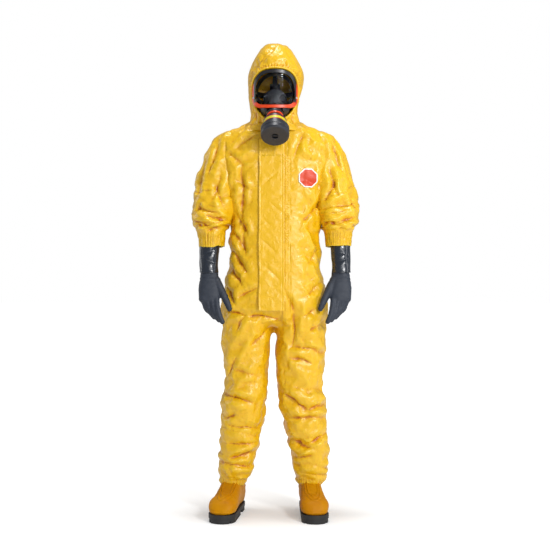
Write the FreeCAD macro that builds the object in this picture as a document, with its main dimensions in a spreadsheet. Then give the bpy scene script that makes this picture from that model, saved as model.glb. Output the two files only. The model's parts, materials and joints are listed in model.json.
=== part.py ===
"""Chemical protective suit: hooded coverall, full-face respirator with screw-in filter, gauntlet gloves and
safety boots, standing as worn. Millimetres, +Z up, the suit faces -Y, +X is the wearer's left. The origin is on
the floor under the middle of the suit's bounding box.

Each limb is a tapering fabric tube whose upper end is a ball nested in the piece above it, so that the suit bends
at the shoulders, elbows, wrists, hips, knees and ankles without its shells cutting into each other."""
import FreeCAD, Part
import math
import os
import Sketcher
from FreeCAD import Placement, Rotation, Vector

# alias, value, meaning. Lengths in millimetres, angles in degrees.
DIMENSIONS = [
    ("stance_y", 45.5, "shift that centres the bounding box over the origin"),
    ("wall", 2.0, "thickness of a fabric or rubber shell"),
    ("ball_gap", 1.0, "running gap between nested ball ends"),
    ("seam_gap", 0.5, "gap between neighbouring panels"),
    # torso: heights, half widths and half depths of its sections
    ("seat_z", 850, "lowest torso section"), ("seat_w", 190, ""), ("seat_d", 119, ""),
    ("hip_z", 1000, "hip section"), ("hip_w", 180, ""), ("hip_d", 119, ""),
    ("waist_z", 1150, "waist section"), ("waist_w", 156, ""), ("waist_d", 115, ""),
    ("chest_z", 1300, "chest section"), ("chest_w", 157, ""), ("chest_d", 117, ""),
    ("bib_z", 1357, "section half way up to the yoke"), ("bib_w", 156.5, ""), ("bib_d", 114, ""),
    ("yoke_z", 1415, "yoke section"), ("yoke_w", 154, ""), ("yoke_d", 109, ""),
    ("slope_z", 1468, "shoulder slope section"), ("slope_w", 132, ""), ("slope_d", 98, ""),
    ("collar_z", 1499, "collar edge"), ("collar_w", 94, ""), ("collar_d", 90, ""),
    ("front_y", -124, "front centre line at zip_low_z"),
    ("front_lean", 3.2, "backward lean of the front centre line, degrees"),
    ("side_seam_y", 8, "side seams"),
    ("hem_front_z", 1012, "torso hem at the front, above the groin"),
    ("hem_back_z", 925, "torso hem at the seat"),
    ("gusset_w", 9, "width of the crotch gusset strip"),
    ("gusset_z", 738, "lowest point of the crotch gusset"),
    # zip, flaps and badge
    ("zip_low_z", 800, "lower end of the zip"), ("zip_length", 620, "zip chain length"),
    ("tape_w", 14, "zip tape width"), ("chain_w", 3, "half chain width"),
    ("flap_w", 92, "storm flap width"), ("flap_length", 585, "storm flap length"),
    ("flap_hinge_x", 34, "sewn edge of the storm flap"), ("flap_stand", 8.5, "flap in front of the panels"),
    ("slider_length", 17, ""), ("slider_w", 12, ""), ("pull_length", 34, ""),
    ("badge_across", 74, "octagonal chest badge across its flats"),
    # hood
    ("neck_z", 1535, "neck pivot height"), ("neck_y", 18, "neck pivot depth"), ("neck_r", 84, "neck ball"),
    ("hood_top_z", 1813, "top of the hood"),
    ("face_open_w", 78, "half width of the face opening"), ("face_open_h", 100, "its half height"),
    ("face_open_z", 1606, "its centre"),
    # mask
    ("visor_z", 1620, "centre of the visor"), ("visor_y", -40, "axis of the visor's curve"),
    ("visor_r", 95, "outer radius of the lens curve"), ("lens_t", 2.6, "lens thickness"),
    ("visor_w", 79, "half width of the lens"), ("visor_h", 66, "half height of the lens"),
    ("frame_band", 6, "width of the visor frame around the lens"), ("frame_t", 9, "frame thickness"),
    ("port_y", -128, "filter port centre"), ("port_z", 1511, "filter port centre"),
    ("port_dip", 53, "filter axis below the horizontal, degrees"),
    ("port_r", 31, "filter port ring"), ("port_bore_r", 20.3, "bore of the filter port"),
    ("housing_length", 46, ""),
    ("valve_r", 15, "valve discs"),
    # filter
    ("spigot_r", 20, "filter thread, outside"), ("spigot_length", 13, ""),
    ("filter_neck_r", 43.5, "filter's narrow part"), ("filter_r", 53.5, "filter's wide part"),
    ("filter_length", 96, "port face to filter face"), ("inlet_r", 13, "filter inlet hole"),
    # arms
    ("shoulder_x", 186, ""), ("shoulder_y", 12, ""), ("shoulder_z", 1398, ""), ("shoulder_r", 84, ""),
    ("arm_spread", 11.5, "upper arm out from vertical, degrees"), ("upper_arm", 255, ""),
    ("underarm_x", 166, "sleeve cut off inside this"),
    ("sleeve_end_r", 77, "sleeve at the elbow"), ("elbow_relief", 104, "sleeve cut back inside the elbow"),
    ("elbow_r", 73, "elbow ball"), ("forearm_bend", 18, "forearm forward from vertical, degrees"),
    ("forearm_spread", 3, ""), ("sleeve_length", 90, "elbow to sleeve cuff"), ("cuff_r", 47, ""),
    ("forearm", 245, "elbow to wrist"), ("gauntlet_top", 40, "gauntlet end below the elbow"),
    ("gauntlet_r", 42, "gauntlet end"), ("wrist_r", 37.5, "gauntlet at the wrist"), ("wrist_ball_r", 34, ""),
    ("wrist_relief", 20, "gauntlet ends this far above the wrist"),
    ("palm_length", 97, "wrist to knuckles"), ("palm_w", 40, "half width"), ("palm_d", 20, "half thickness"),
    ("finger_r", 9.3, ""), ("thumb_r", 11, ""), ("thumb_length", 70, ""),
    # legs
    ("hip_x", 98, ""), ("hip_y", 8, ""), ("leg_spread_left", 2.6, "degrees"),
    ("leg_spread_right", 4.6, "degrees"), ("thigh", 430, ""), ("hip_r", 90, ""),
    ("knee_relief", 120, "thigh cut back behind the knee"), ("thigh_end_r", 86, ""), ("knee_r", 82, "knee ball"),
    ("shin", 395, "knee to ankle"), ("trouser_length", 372, "knee to trouser hem"), ("hem_r", 56, ""),
    ("boot_top", 118, "boot shaft top below the knee"), ("boot_top_r", 53, ""), ("ankle_shaft_r", 47, ""),
    ("ankle_height", 106, ""), ("ankle_r", 43, "ankle ball"),
    ("heel_r", 36, "heel end of the sole"), ("heel_y", 50, ""), ("toe_r", 52, "toe end of the sole"),
    ("toe_y", -155, ""), ("sole_t", 16, "sole plate"), ("heel_t", 16, "heel and forefoot lugs under the plate"),
    ("toe_out_left", 5, "degrees"), ("toe_out_right", 12, "degrees"),
]
SIDES = (("left", 1), ("right", -1))
FINGER_LENGTHS = {"little": 48, "ring": 62, "middle": 68, "index": 60}
FULL_TURN = 360
FAR = 400  # larger than any piece, for cutting tools

doc = FreeCAD.newDocument("chemical_protective_suit")
sheet = doc.addObject("Spreadsheet::Sheet", "dims")
subparts = []


def fill_sheet():
    for row, (alias, value, meaning) in enumerate(DIMENSIONS, start=1):
        sheet.set(f"A{row}", meaning)
        sheet.set(f"B{row}", str(value))
        sheet.setAlias(f"B{row}", alias)
    doc.recompute()


def size(formula):
    """The value of a formula over the sheet's cells, such as "dims.hip_r - dims.wall"."""
    return float(sheet.evalExpression(str(formula)))


def make(kind, name, **formulas):
    """A document object of this kind whose properties follow formulas over the sheet."""
    piece = doc.addObject(kind, name)
    for prop, formula in formulas.items():
        piece.setExpression(prop, str(formula))
    return piece


def move(piece, x=None, y=None, z=None, axis=None, angle=0):
    """Binds a piece's place to the formulas given, with an optional turn by a fixed angle."""
    if axis:
        piece.Placement = Placement(Vector(), Rotation(Vector(*axis), angle))
    for letter, formula in zip("xyz", (x, y, z)):
        if formula is not None:
            piece.setExpression(f"Placement.Base.{letter}", str(formula))
    return piece


def cylinder(name, radius, height, **where):
    return move(make("Part::Cylinder", name, Radius=radius, Height=height), **where)


def cone(name, low_radius, high_radius, height, **where):
    return move(make("Part::Cone", name, Radius1=low_radius, Radius2=high_radius, Height=height), **where)


def sphere(name, radius, **where):
    return move(make("Part::Sphere", name, Radius=radius), **where)


def box(name, low, high):
    """A box between two corners given as formulas."""
    sides = [f"({b}) - ({a})" for a, b in zip(low, high)]
    block = make("Part::Box", name, Length=sides[0], Width=sides[1], Height=sides[2])
    return move(block, *low)


def cut(name, base, *tools):
    """base with every tool taken away."""
    for number, tool in enumerate(tools):
        result = doc.addObject("Part::Cut", f"{name}_cut{number}")
        result.Base, result.Tool = base, tool
        base = result
    return base


def fuse(name, *pieces):
    result = doc.addObject("Part::MultiFuse", f"{name}_fuse")
    result.Shapes = list(pieces)
    result.Refine = True
    return result


def common(name, *pieces):
    result = doc.addObject("Part::MultiCommon", f"{name}_common")
    result.Shapes = list(pieces)
    return result


def ellipse(name, half_x, half_y, x=0, y=0, z=0):
    """A level ellipse. Its long axis must lie along its own X, so a deep one is turned a quarter."""
    deep = size(half_y) > size(half_x)
    major, minor = (half_y, half_x) if deep else (half_x, half_y)
    ring = make("Part::Ellipse", name, MajorRadius=major, MinorRadius=minor)
    return move(ring, x, y, z, axis=(0, 0, 1), angle=90 if deep else 0)


def loft(name, sections, ruled=False):
    """A solid through the sections in turn, curved or with straight sides from each to the next."""
    result = doc.addObject("Part::Loft", f"{name}_loft")
    result.Sections = sections
    result.Solid = True
    result.Ruled = ruled
    return result


def compound(name, pieces):
    result = doc.addObject("Part::Compound", f"{name}_group")
    result.Links = list(pieces)
    return result


def finish(piece, label, place=None):
    """Names a sub-part, puts it in the suit and lists it for export. A piece whose own place follows the sheet is
    put inside a compound, which then carries the placement."""
    if any("Placement" in path for path, _ in piece.ExpressionEngine):
        piece = compound(label, [piece])
    piece.Label = label
    shift = Placement(Vector(0, size("dims.stance_y"), 0), Rotation())
    piece.Placement = shift * (place or Placement()) * piece.Placement
    subparts.append(piece)
    return piece


def profile(body, name, role, points):
    """A closed polygon sketch on a body's origin plane, each corner held by two formulas."""
    sketch = body.newObject("Sketcher::SketchObject", name)
    plane = next(f for f in body.Origin.OriginFeatures if f.Role == role)
    sketch.AttachmentSupport = [(plane, "")]
    sketch.MapMode = "FlatFace"
    corners = [Vector(size(x), size(y), 0) for x, y in points]
    count = len(corners)
    for i in range(count):
        sketch.addGeometry(Part.LineSegment(corners[i], corners[(i + 1) % count]), False)
    for i in range(count):
        sketch.addConstraint(Sketcher.Constraint("Coincident", i, 2, (i + 1) % count, 1))
        for kind, value, formula in (("DistanceX", corners[i].x, points[i][0]),
                                     ("DistanceY", corners[i].y, points[i][1])):
            held = sketch.addConstraint(Sketcher.Constraint(kind, -1, 1, i, 1, value))
            sketch.setExpression(f"Constraints[{held}]", str(formula))
    return sketch


def turned(name, points):
    """A body turned about its own Z from (radius, height) corners."""
    body = doc.addObject("PartDesign::Body", name)
    sketch = profile(body, f"{name}_profile", "XZ_Plane", points)
    turn = body.newObject("PartDesign::Revolution", f"{name}_turn")
    turn.Profile = sketch
    turn.ReferenceAxis = (sketch, ["V_Axis"])
    turn.Angle = FULL_TURN
    return body


def padded(name, points, thickness, role="XY_Plane"):
    """A body padded from a polygon sketch."""
    body = doc.addObject("PartDesign::Body", name)
    pad = body.newObject("PartDesign::Pad", f"{name}_pad")
    pad.Profile = profile(body, f"{name}_outline", role, points)
    pad.setExpression("Length", str(thickness))
    return body


def ball_ended_tube(name, ball, end, length, thickness="dims.wall", opening="axis", bore=0.8):
    """A fabric tube down from the origin with a hemispherical head. The wearer's limb passes through an opening in
    the head, along the tube's axis or, for an armhole, towards the torso at -X."""
    skins = []
    for layer, inset in (("outer", "0"), ("inner", thickness)):
        head = sphere(f"{name}_{layer}_head", f"{ball} - {inset}")
        head.Angle1 = 0
        tube = cone(f"{name}_{layer}_tube", f"{end} - {inset}", f"{ball} - {inset}", length, z=f"-({length})")
        skins.append(fuse(f"{name}_{layer}", head, tube))
    if opening == "axis":
        way_in = cylinder(f"{name}_way_in", f"({ball}) * {bore}", f"{ball} + 1")
    else:
        way_in = cylinder(f"{name}_way_in", f"({ball}) * {bore}", FAR, axis=(0, 1, 0), angle=-90)
    return cut(name, skins[0], skins[1], way_in)


def slanted_end(name, high, low, radius):
    """A cutting tool that ends a tube at height `high` on its front (-Y) and `low` on its back."""
    tilt = math.degrees(math.atan2(size(high) - size(low), 2 * size(radius)))
    tool = make("Part::Box", name, Length=2 * FAR, Width=2 * FAR, Height=FAR)
    turn = Rotation(Vector(1, 0, 0), -tilt)
    middle = Vector(0, 0, (size(high) + size(low)) / 2)
    tool.Placement = Placement(middle + turn.multVec(Vector(-FAR, -FAR, -FAR)), turn)
    return tool


# ---------------------------------------------------------------- places that several sub-parts share
def front_line(z):
    """Formula for the front centre line's Y at a height."""
    return f"dims.front_y + ({z} - dims.zip_low_z) * tan(dims.front_lean * 1 deg)"


def zip_place():
    """Frame of the zip: origin at its lower end on the front line, Z up the zip, -Y out of the chest."""
    return Placement(Vector(0, size("dims.front_y"), size("dims.zip_low_z")),
                     Rotation(Vector(1, 0, 0), -size("dims.front_lean")))


def port_place():
    """Frame of the filter port: origin at its face, Z along the filter's axis, out and down."""
    return Placement(Vector(0, size("dims.port_y"), size("dims.port_z")),
                     Rotation(Vector(1, 0, 0), 90 + size("dims.port_dip")))


def shoulder_place(side):
    return Placement(Vector(side * size("dims.shoulder_x"), size("dims.shoulder_y"), size("dims.shoulder_z")),
                     Rotation(Vector(0, 1, 0), -side * size("dims.arm_spread")))


def elbow_place(side):
    elbow = shoulder_place(side).multVec(Vector(0, 0, -size("dims.upper_arm")))
    lean = Rotation(Vector(0, 1, 0), -side * size("dims.forearm_spread"))
    bend = Rotation(Vector(1, 0, 0), -size("dims.forearm_bend"))
    return Placement(elbow, lean * bend)


def wrist_place(side):
    wrist = elbow_place(side).multVec(Vector(0, 0, -size("dims.forearm")))
    return Placement(wrist, Rotation(Vector(1, 0, 0), -size("dims.forearm_bend")))


def hip_place(side):
    spread = size("dims.leg_spread_left" if side > 0 else "dims.leg_spread_right")
    reach = size("dims.thigh + dims.shin") * math.cos(math.radians(spread))
    return Placement(Vector(side * size("dims.hip_x"), size("dims.hip_y"), size("dims.ankle_height") + reach),
                     Rotation(Vector(0, 1, 0), -side * spread))


def knee_place(side):
    hip = hip_place(side)
    return Placement(hip.multVec(Vector(0, 0, -size("dims.thigh"))), hip.Rotation)


def foot_place(side_name, side):
    """On the floor under the ankle, turned out; the foot points along -Y."""
    ankle = hip_place(side).multVec(Vector(0, 0, -size("dims.thigh + dims.shin")))
    return Placement(Vector(ankle.x, ankle.y, 0), Rotation(Vector(0, 0, 1), side * size(f"dims.toe_out_{side_name}")))


# ---------------------------------------------------------------- coverall
def torso_skin(layer, inset):
    """The torso as a loft of level ellipses, straight-sided so that its front follows the line of the zip exactly
    up to the yoke."""
    rings = []
    for part in ("seat", "hip", "waist", "chest", "bib", "yoke", "slope", "collar"):
        depth = f"dims.{part}_d"
        middle = "dims.neck_y" if part in ("slope", "collar") else f"{front_line(f'dims.{part}_z')} + {depth}"
        rings.append(ellipse(f"{part}_{layer}", f"dims.{part}_w - ({inset})", f"{depth} - ({inset})",
                             y=middle, z=f"dims.{part}_z"))
    return loft(f"torso_{layer}", rings, ruled=True)


def torso_panels():
    shell = cut("torso_shell", torso_skin("outer", "0"), torso_skin("inner", "dims.wall"))
    clearances = []
    for name, side in SIDES:
        at = shoulder_place(side).Base
        ball = sphere(f"{name}_armhole", "dims.shoulder_r + dims.ball_gap", x=at.x, y=at.y, z=at.z)
        hip = hip_place(side).Base
        seat = sphere(f"{name}_leg_hole", "dims.hip_r + 3 * dims.ball_gap", x=hip.x, y=hip.y, z=hip.z)
        clearances += [ball, seat]
    hem = slanted_end("torso_hem", "dims.hem_front_z", "dims.hem_back_z", "dims.hip_d")
    shell = cut("torso_trim", shell, *clearances, hem)
    half = "dims.seam_gap / 2"
    back = box("back_zone", (-FAR, f"dims.side_seam_y + {half}", 0), (FAR, FAR, 2 * FAR + 1200))
    finish(common("back_panel", shell, back), "back_panel")
    for name, side in SIDES:
        inner, outer = ("1", FAR) if side > 0 else (-FAR, "-1")
        zone = box(f"{name}_front_zone", (inner, -FAR, 0), (outer, f"dims.side_seam_y - {half}", 2000))
        finish(common(f"front_panel_{name}", shell, zone), f"front_panel_{name}")


def crotch_gusset():
    """A strip from the groin, under the crotch and up to the seat, between the two trouser legs."""
    reach = "dims.hip_d - 6"
    bowls = []
    for layer, inset in (("outer", "0"), ("inner", "dims.wall + 1")):
        arch = make("Part::Ellipse", f"gusset_{layer}",
                    MajorRadius=f"dims.hem_front_z - dims.gusset_z - ({inset})", MinorRadius=f"{reach} - ({inset})")
        arch.Placement = Placement(Vector(), Rotation(Vector(0, 1, 0), 90))
        other = make("Part::Ellipse", f"gusset_{layer}_end",
                     MajorRadius=f"dims.hem_front_z - dims.gusset_z - ({inset})", MinorRadius=f"{reach} - ({inset})")
        other.Placement = arch.Placement
        for ring, x in ((arch, "-dims.gusset_w / 2"), (other, "dims.gusset_w / 2")):
            for letter, formula in zip("xyz", (x, "dims.hip_y - 4", "dims.hem_front_z")):
                ring.setExpression(f"Placement.Base.{letter}", formula)
        bowls.append(loft(f"gusset_{layer}", [arch, other]))
    strip = cut("gusset_strip", *bowls)
    above = slanted_end("gusset_top", "dims.hem_front_z - 3", "dims.hem_back_z - 3", "dims.hip_d")
    finish(common("crotch_gusset", strip, above), "crotch_gusset")


def zip_fastener():
    """Two tapes, two chains and the end stops, along the front line in the zip's own frame."""
    tapes, chains = [], []
    for name, side in SIDES:
        low = (0.4, -2, 0) if side > 0 else ("-dims.tape_w", -2, 0)
        high = ("dims.tape_w", -1, "dims.zip_length") if side > 0 else (-0.4, -1, "dims.zip_length")
        tapes.append(box(f"zip_tape_{name}", low, high))
        low = (0.15, -4.4, 6) if side > 0 else ("-dims.chain_w", -4.4, 6)
        high = ("dims.chain_w", -2.1, "dims.zip_length - 6") if side > 0 else (-0.15, -2.1, "dims.zip_length - 6")
        chains.append(box(f"zip_chain_{name}", low, high))
    stops = [box(f"zip_stop_{end}", ("-dims.chain_w - 1", -4.7, low), ("dims.chain_w + 1", -2.1, f"{low} + 5"))
             for end, low in (("low", "1.5"), ("high", "dims.zip_length - 6.5"))]
    finish(compound("zip_tape", tapes), "zip_tape", zip_place())
    finish(compound("zip_chain", [fuse("zip_chain", *chains, *stops)]), "zip_chain", zip_place())


def zip_slider():
    """Channel-shaped slider over the chain, at the closed end, and its pull hanging from the bridge."""
    top = "dims.zip_length - 8"
    half = "dims.slider_w / 2"
    inner = "dims.chain_w + 0.4"
    channel = [(f"-{half}", -6.4), (half, -6.4), (half, -2.2), (inner, -2.2), (inner, -4.8),
               (f"-({inner})", -4.8), (f"-({inner})", -2.2), (f"-{half}", -2.2)]
    body = padded("zip_slider", channel, "dims.slider_length")
    base = Placement(Vector(0, 0, size(f"{top} - dims.slider_length")), Rotation())
    finish(body, "zip_slider", zip_place() * base)
    reach = "dims.pull_length"
    outline = [(-1.6, 0), (1.6, 0), (3.2, f"-{reach} + 4"), (2.4, f"-{reach}"), (-2.4, f"-{reach}"),
               (-3.2, f"-{reach} + 4")]
    pull = padded("zip_pull", outline, 1.2, role="XZ_Plane")
    hang = Placement(Vector(0, -6.6, size(f"{top} - dims.slider_length / 2")), Rotation())
    finish(pull, "zip_pull", zip_place() * hang)


def flaps():
    """Storm flap over the zip, hinged on its sewn edge, and the chin flap above it under the filter."""
    out = "-dims.flap_stand"
    flap = box("storm_flap_sheet", ("dims.flap_hinge_x - dims.flap_w", f"{out} - 1.6", -12),
               ("dims.flap_hinge_x", out, "dims.flap_length - 12"))
    finish(flap, "storm_flap", zip_place())
    chin = box("chin_flap_sheet", ("dims.flap_hinge_x - dims.flap_w + 6", f"{out} - 1.6", "dims.flap_length - 8"),
               ("dims.flap_hinge_x - 6", out, "dims.zip_length + 14"))
    finish(chin, "chin_flap", zip_place())


def chest_badge():
    """Plain octagonal patch on the left breast."""
    flat, corner = "dims.badge_across / 2", "dims.badge_across / 2 * 0.41421"
    points = []
    for sx, sy in ((1, 1), (-1, 1), (-1, -1), (1, -1)):
        ends = [(f"{sx} * {flat}", f"{sy} * {corner}"), (f"{sx} * {corner}", f"{sy} * {flat}")]
        points += ends if sx * sy > 0 else ends[::-1]
    badge = padded("chest_badge", points, 1.2, role="XZ_Plane")
    face = Rotation(Vector(0, 0, 1), 33) * Rotation(Vector(0, 1, 0), 10)
    finish(badge, "chest_badge", Placement(Vector(120, -87, 1289), face))


def hood():
    """Hood shell with a ball-ended neck inside the collar and an oval face opening."""
    rings = (("dims.neck_z", "dims.neck_r", "dims.neck_r", "dims.neck_y"),
             ("dims.neck_z + 70", "93", "103", "10"), ("dims.neck_z + 130", "99", "122", "4"),
             ("dims.neck_z + 185", "97", "123", "3"), ("dims.hood_top_z - 42", "80", "98", "6"),
             ("dims.hood_top_z - 13", "48", "60", "8"), ("dims.hood_top_z", "14", "18", "8"))
    skins = []
    for layer, inset in (("outer", "0"), ("inner", "dims.wall")):
        level = [ellipse(f"hood_{layer}_{i}", f"{w} - {inset}", f"{d} - {inset}", y=y,
                         z=f"{z} - {inset}" if i == len(rings) - 1 else z)
                 for i, (z, w, d, y) in enumerate(rings)]
        ball = sphere(f"hood_{layer}_neck", f"dims.neck_r - {inset}", y="dims.neck_y", z="dims.neck_z")
        ball.Angle2 = 0
        skins.append(fuse(f"hood_{layer}", loft(f"hood_{layer}", level), ball))
    way_in = cylinder("hood_way_in", "dims.neck_r * 0.75", 100, y="dims.neck_y", z="dims.neck_z - 100")
    face = loft("face_opening", [upright_oval(f"face_opening_{i}", "dims.face_open_w", "dims.face_open_h", y,
                                              "dims.face_open_z") for i, y in enumerate(("-300", "-20"))])
    finish(cut("hood", *skins, way_in, face), "hood")
    edge = []
    for layer, w, h in (("outer", "dims.face_open_w - 0.6", "dims.face_open_h - 0.6"),
                        ("inner", "dims.face_open_w - 2.6", "dims.face_open_h - 2.6")):
        edge.append(loft(f"hood_elastic_{layer}", [upright_oval(f"hood_elastic_{layer}_{i}", w, h, y,
                                                                "dims.face_open_z")
                                                   for i, y in enumerate(("-300", "-20"))]))
    band = [cut("hood_elastic_ring", *edge)]
    for layer, inset in (("outer", "-1.5"), ("inner", "4")):
        level = [ellipse(f"hood_band_{layer}_{i}", f"{w} - ({inset})", f"{d} - ({inset})", y=y, z=z)
                 for i, (z, w, d, y) in enumerate(rings[:6])]
        ball = sphere(f"hood_band_{layer}_neck", f"dims.neck_r - ({inset})", y="dims.neck_y", z="dims.neck_z")
        ball.Angle2 = 0
        band.append(fuse(f"hood_band_{layer}", loft(f"hood_band_{layer}", level), ball))
    shell = cut("hood_band", band[1], band[2])
    finish(common("hood_face_elastic", shell, band[0]), "hood_face_elastic")


def upright_oval(name, half_w, half_h, y, z="dims.visor_z"):
    """An ellipse in a plane facing -Y, taller than wide or wider than tall."""
    tall = size(half_h) > size(half_w)
    major, minor = (half_h, half_w) if tall else (half_w, half_h)
    ring = make("Part::Ellipse", name, MajorRadius=major, MinorRadius=minor)
    upright = Rotation(Vector(1, 0, 0), 90)
    ring.Placement = Placement(Vector(), upright * Rotation(Vector(0, 0, 1), 90 if tall else 0))
    for letter, formula in zip("xyz", ("0", y, z)):
        ring.setExpression(f"Placement.Base.{letter}", str(formula))
    return ring


# ---------------------------------------------------------------- respirator
def visor_outline(name, grow):
    """Closed outline of the panoramic lens: wide and round-cornered below, arched above, grown by a margin."""
    w, h = size(f"dims.visor_w + {grow}"), size(f"dims.visor_h + {grow}")
    low_corner, top = 0.34 * h, 0.42 * w
    left = [Vector(-0.62 * w, 0, -0.97 * h), Vector(-0.93 * w, 0, -0.78 * h), Vector(-w, 0, -low_corner),
            Vector(-0.98 * w, 0, 0.22 * h), Vector(-0.84 * w, 0, 0.66 * h), Vector(-top, 0, 0.95 * h)]
    right = [Vector(-p.x, 0, p.z) for p in left]
    arcs = [Part.Arc(left[0], left[1], left[2]), Part.Arc(left[2], left[3], left[4]),
            Part.Arc(left[4], Vector(-0.66 * w, 0, 0.85 * h), left[5]),
            Part.Arc(left[5], Vector(0, 0, h), right[5]),
            Part.Arc(right[5], Vector(0.66 * w, 0, 0.85 * h), right[4]),
            Part.Arc(right[4], right[3], right[2]), Part.Arc(right[2], right[1], right[0]),
            Part.Arc(right[0], Vector(0, 0, -h), left[0])]
    wire = Part.Wire([arc.toShape() for arc in arcs])
    prism = Part.Face(wire).extrude(Vector(0, 200, 0))
    piece = doc.addObject("Part::Feature", name)
    piece.Shape = prism
    return move(piece, y=-220, z="dims.visor_z")


def curved_sheet(name, outer, inner):
    """Upright cylindrical sheet about the visor's curve axis."""
    where = {"y": "dims.visor_y", "z": "dims.visor_z - 120"}
    return cut(name, cylinder(f"{name}_out", outer, 240, **where), cylinder(f"{name}_in", inner, 240, **where))


def visor():
    """Clear lens held in the groove of a clamping frame."""
    lens_sheet = curved_sheet("lens_sheet", "dims.visor_r", "dims.visor_r - dims.lens_t")
    finish(common("visor_lens", lens_sheet, visor_outline("lens_outline", "0")), "visor_lens")
    frame_sheet = curved_sheet("frame_sheet", "dims.visor_r + 3.6", "dims.visor_r + 3.6 - dims.frame_t")
    ring = common("frame_blank", frame_sheet, visor_outline("frame_outline", "dims.frame_band"))
    groove = common("frame_groove", curved_sheet("groove_sheet", "dims.visor_r + 0.1",
                                                 "dims.visor_r - dims.lens_t - 0.1"),
                    visor_outline("groove_outline", "0.2"))
    window = visor_outline("frame_window", "-5")
    screw_holes = [frame_screw(f"frame_hole_{name}", side, 1.8, -60, 60) for name, side in SIDES]
    finish(cut("visor_frame", ring, window, groove, *screw_holes), "visor_frame")


def frame_screw(name, side, radius, start_y, length):
    """A cylinder pointing forwards through the outer edge of the visor frame."""
    return cylinder(name, radius, length, x=side * size("dims.visor_w + 2.9"), y=start_y,
                    z="dims.visor_z - 30", axis=(1, 0, 0), angle=90)


def mask_hardware():
    """Clamp screws at the sides of the visor frame and the four strap buckles."""
    screws = []
    for name, side in SIDES:
        shank = frame_screw(f"frame_screw_{name}", side, 1.5, -77, 23)
        head = frame_screw(f"frame_screw_head_{name}", side, 3.2, -99.9, 3)
        screws.append(fuse(f"frame_screw_{name}", shank, head))
    buckles = []
    for name, side in SIDES:
        for level, z in (("temple", "dims.visor_z + 12"), ("nape", "dims.visor_z - 31")):
            block = padded(f"buckle_{level}_{name}", [(-11, -9), (11, -9), (11, 9), (-11, 9)], 4)
            block.Placement = Placement(Vector(side * 70, -22, size(z)), Rotation(Vector(0, 1, 0), side * 90))
            buckles.append(block)
    finish(compound("mask_hardware", screws + buckles), "mask_hardware")


def face_seal():
    """Rubber facepiece: a funnel from the lens back to the face, with a chin cup pierced by the filter housing."""
    skins = []
    for layer, inset in (("outer", "0"), ("inner", "dims.wall + 1")):
        ovals = [upright_oval(f"seal_{layer}_{i}", f"{w} - {inset}", f"{h} - {inset}", y, z)
                 for i, (y, w, h, z) in enumerate((("-150", "72", "61", "dims.visor_z"),
                                                   ("-92", "72", "62", "dims.visor_z"),
                                                   ("-25", "68", "76", "dims.visor_z - 8")))]
        chin = make("Part::Ellipsoid", f"chin_{layer}", Radius1=f"40 - {inset}", Radius2=f"56 - {inset}",
                    Radius3=f"56 - {inset}")
        move(chin, y="dims.port_y + 48", z="dims.visor_z - 66")
        skins.append(fuse(f"seal_{layer}", loft(f"seal_{layer}", ovals), chin))
    inside_lens = cylinder("seal_trim", "dims.visor_r - 5.6", 400, y="dims.visor_y", z="dims.visor_z - 200")
    behind = box("seal_back_trim", (-FAR, "-25", 0), (FAR, FAR, 2000))
    throat = box("seal_throat_trim", (-FAR, "-64", 0), (FAR, FAR, "dims.visor_z - 72"))
    hole = cylinder("seal_port_hole", "dims.port_r + 3", 120)
    hole.Placement = port_place() * Placement(Vector(0, 0, -70), Rotation())
    trimmed = common("seal_trimmed", cut("seal_skin", *skins), inside_lens)
    finish(cut("face_seal", trimmed, behind, throat, hole), "face_seal")


def inner_mask():
    """Nose cup behind the lens, with two valve seats and their discs."""
    skins = []
    for layer, inset in (("outer", "0"), ("inner", "dims.wall")):
        cup = make("Part::Ellipsoid", f"cup_{layer}", Radius1=f"40 - {inset}", Radius2=f"46 - {inset}",
                   Radius3=f"44 - {inset}")
        skins.append(move(cup, y="-66", z="dims.visor_z - 48"))
    cup = cut("cup_shell", *skins)
    behind = box("cup_back_trim", (-FAR, "-60", 0), (FAR, FAR, 2000))
    below = box("cup_low_trim", (-FAR, -FAR, 0), (FAR, FAR, "dims.visor_z - 52"))
    seats, discs, holes = [], [], []
    for name, side in SIDES:
        at = Placement(Vector(side * 29, -96, size("dims.visor_z - 32")),
                       Rotation(Vector(0, 0, 1), side * 38) * Rotation(Vector(1, 0, 0), 90))
        hole = cylinder(f"cup_hole_{name}", 11.4, 40)
        hole.Placement = at * Placement(Vector(0, 0, -24), Rotation())
        holes.append(hole)
        rim = cylinder(f"cup_seat_{name}", 12, 6)
        seat_bore = cylinder(f"cup_seat_bore_{name}", 8, 8)
        rim.Placement = at
        seat_bore.Placement = at * Placement(Vector(0, 0, -1), Rotation())
        seats.append(cut(f"cup_seat_{name}", rim, seat_bore))
        disc = cylinder(f"cup_disc_{name}", 10.5, 0.8)
        disc.Placement = at * Placement(Vector(0, 0, -1.1), Rotation())
        discs.append(disc)
    finish(fuse("inner_mask", cut("inner_mask", cup, behind, below, *holes), *seats), "inner_mask")
    finish(compound("inner_valve_discs", discs), "inner_valve_discs")


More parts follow.
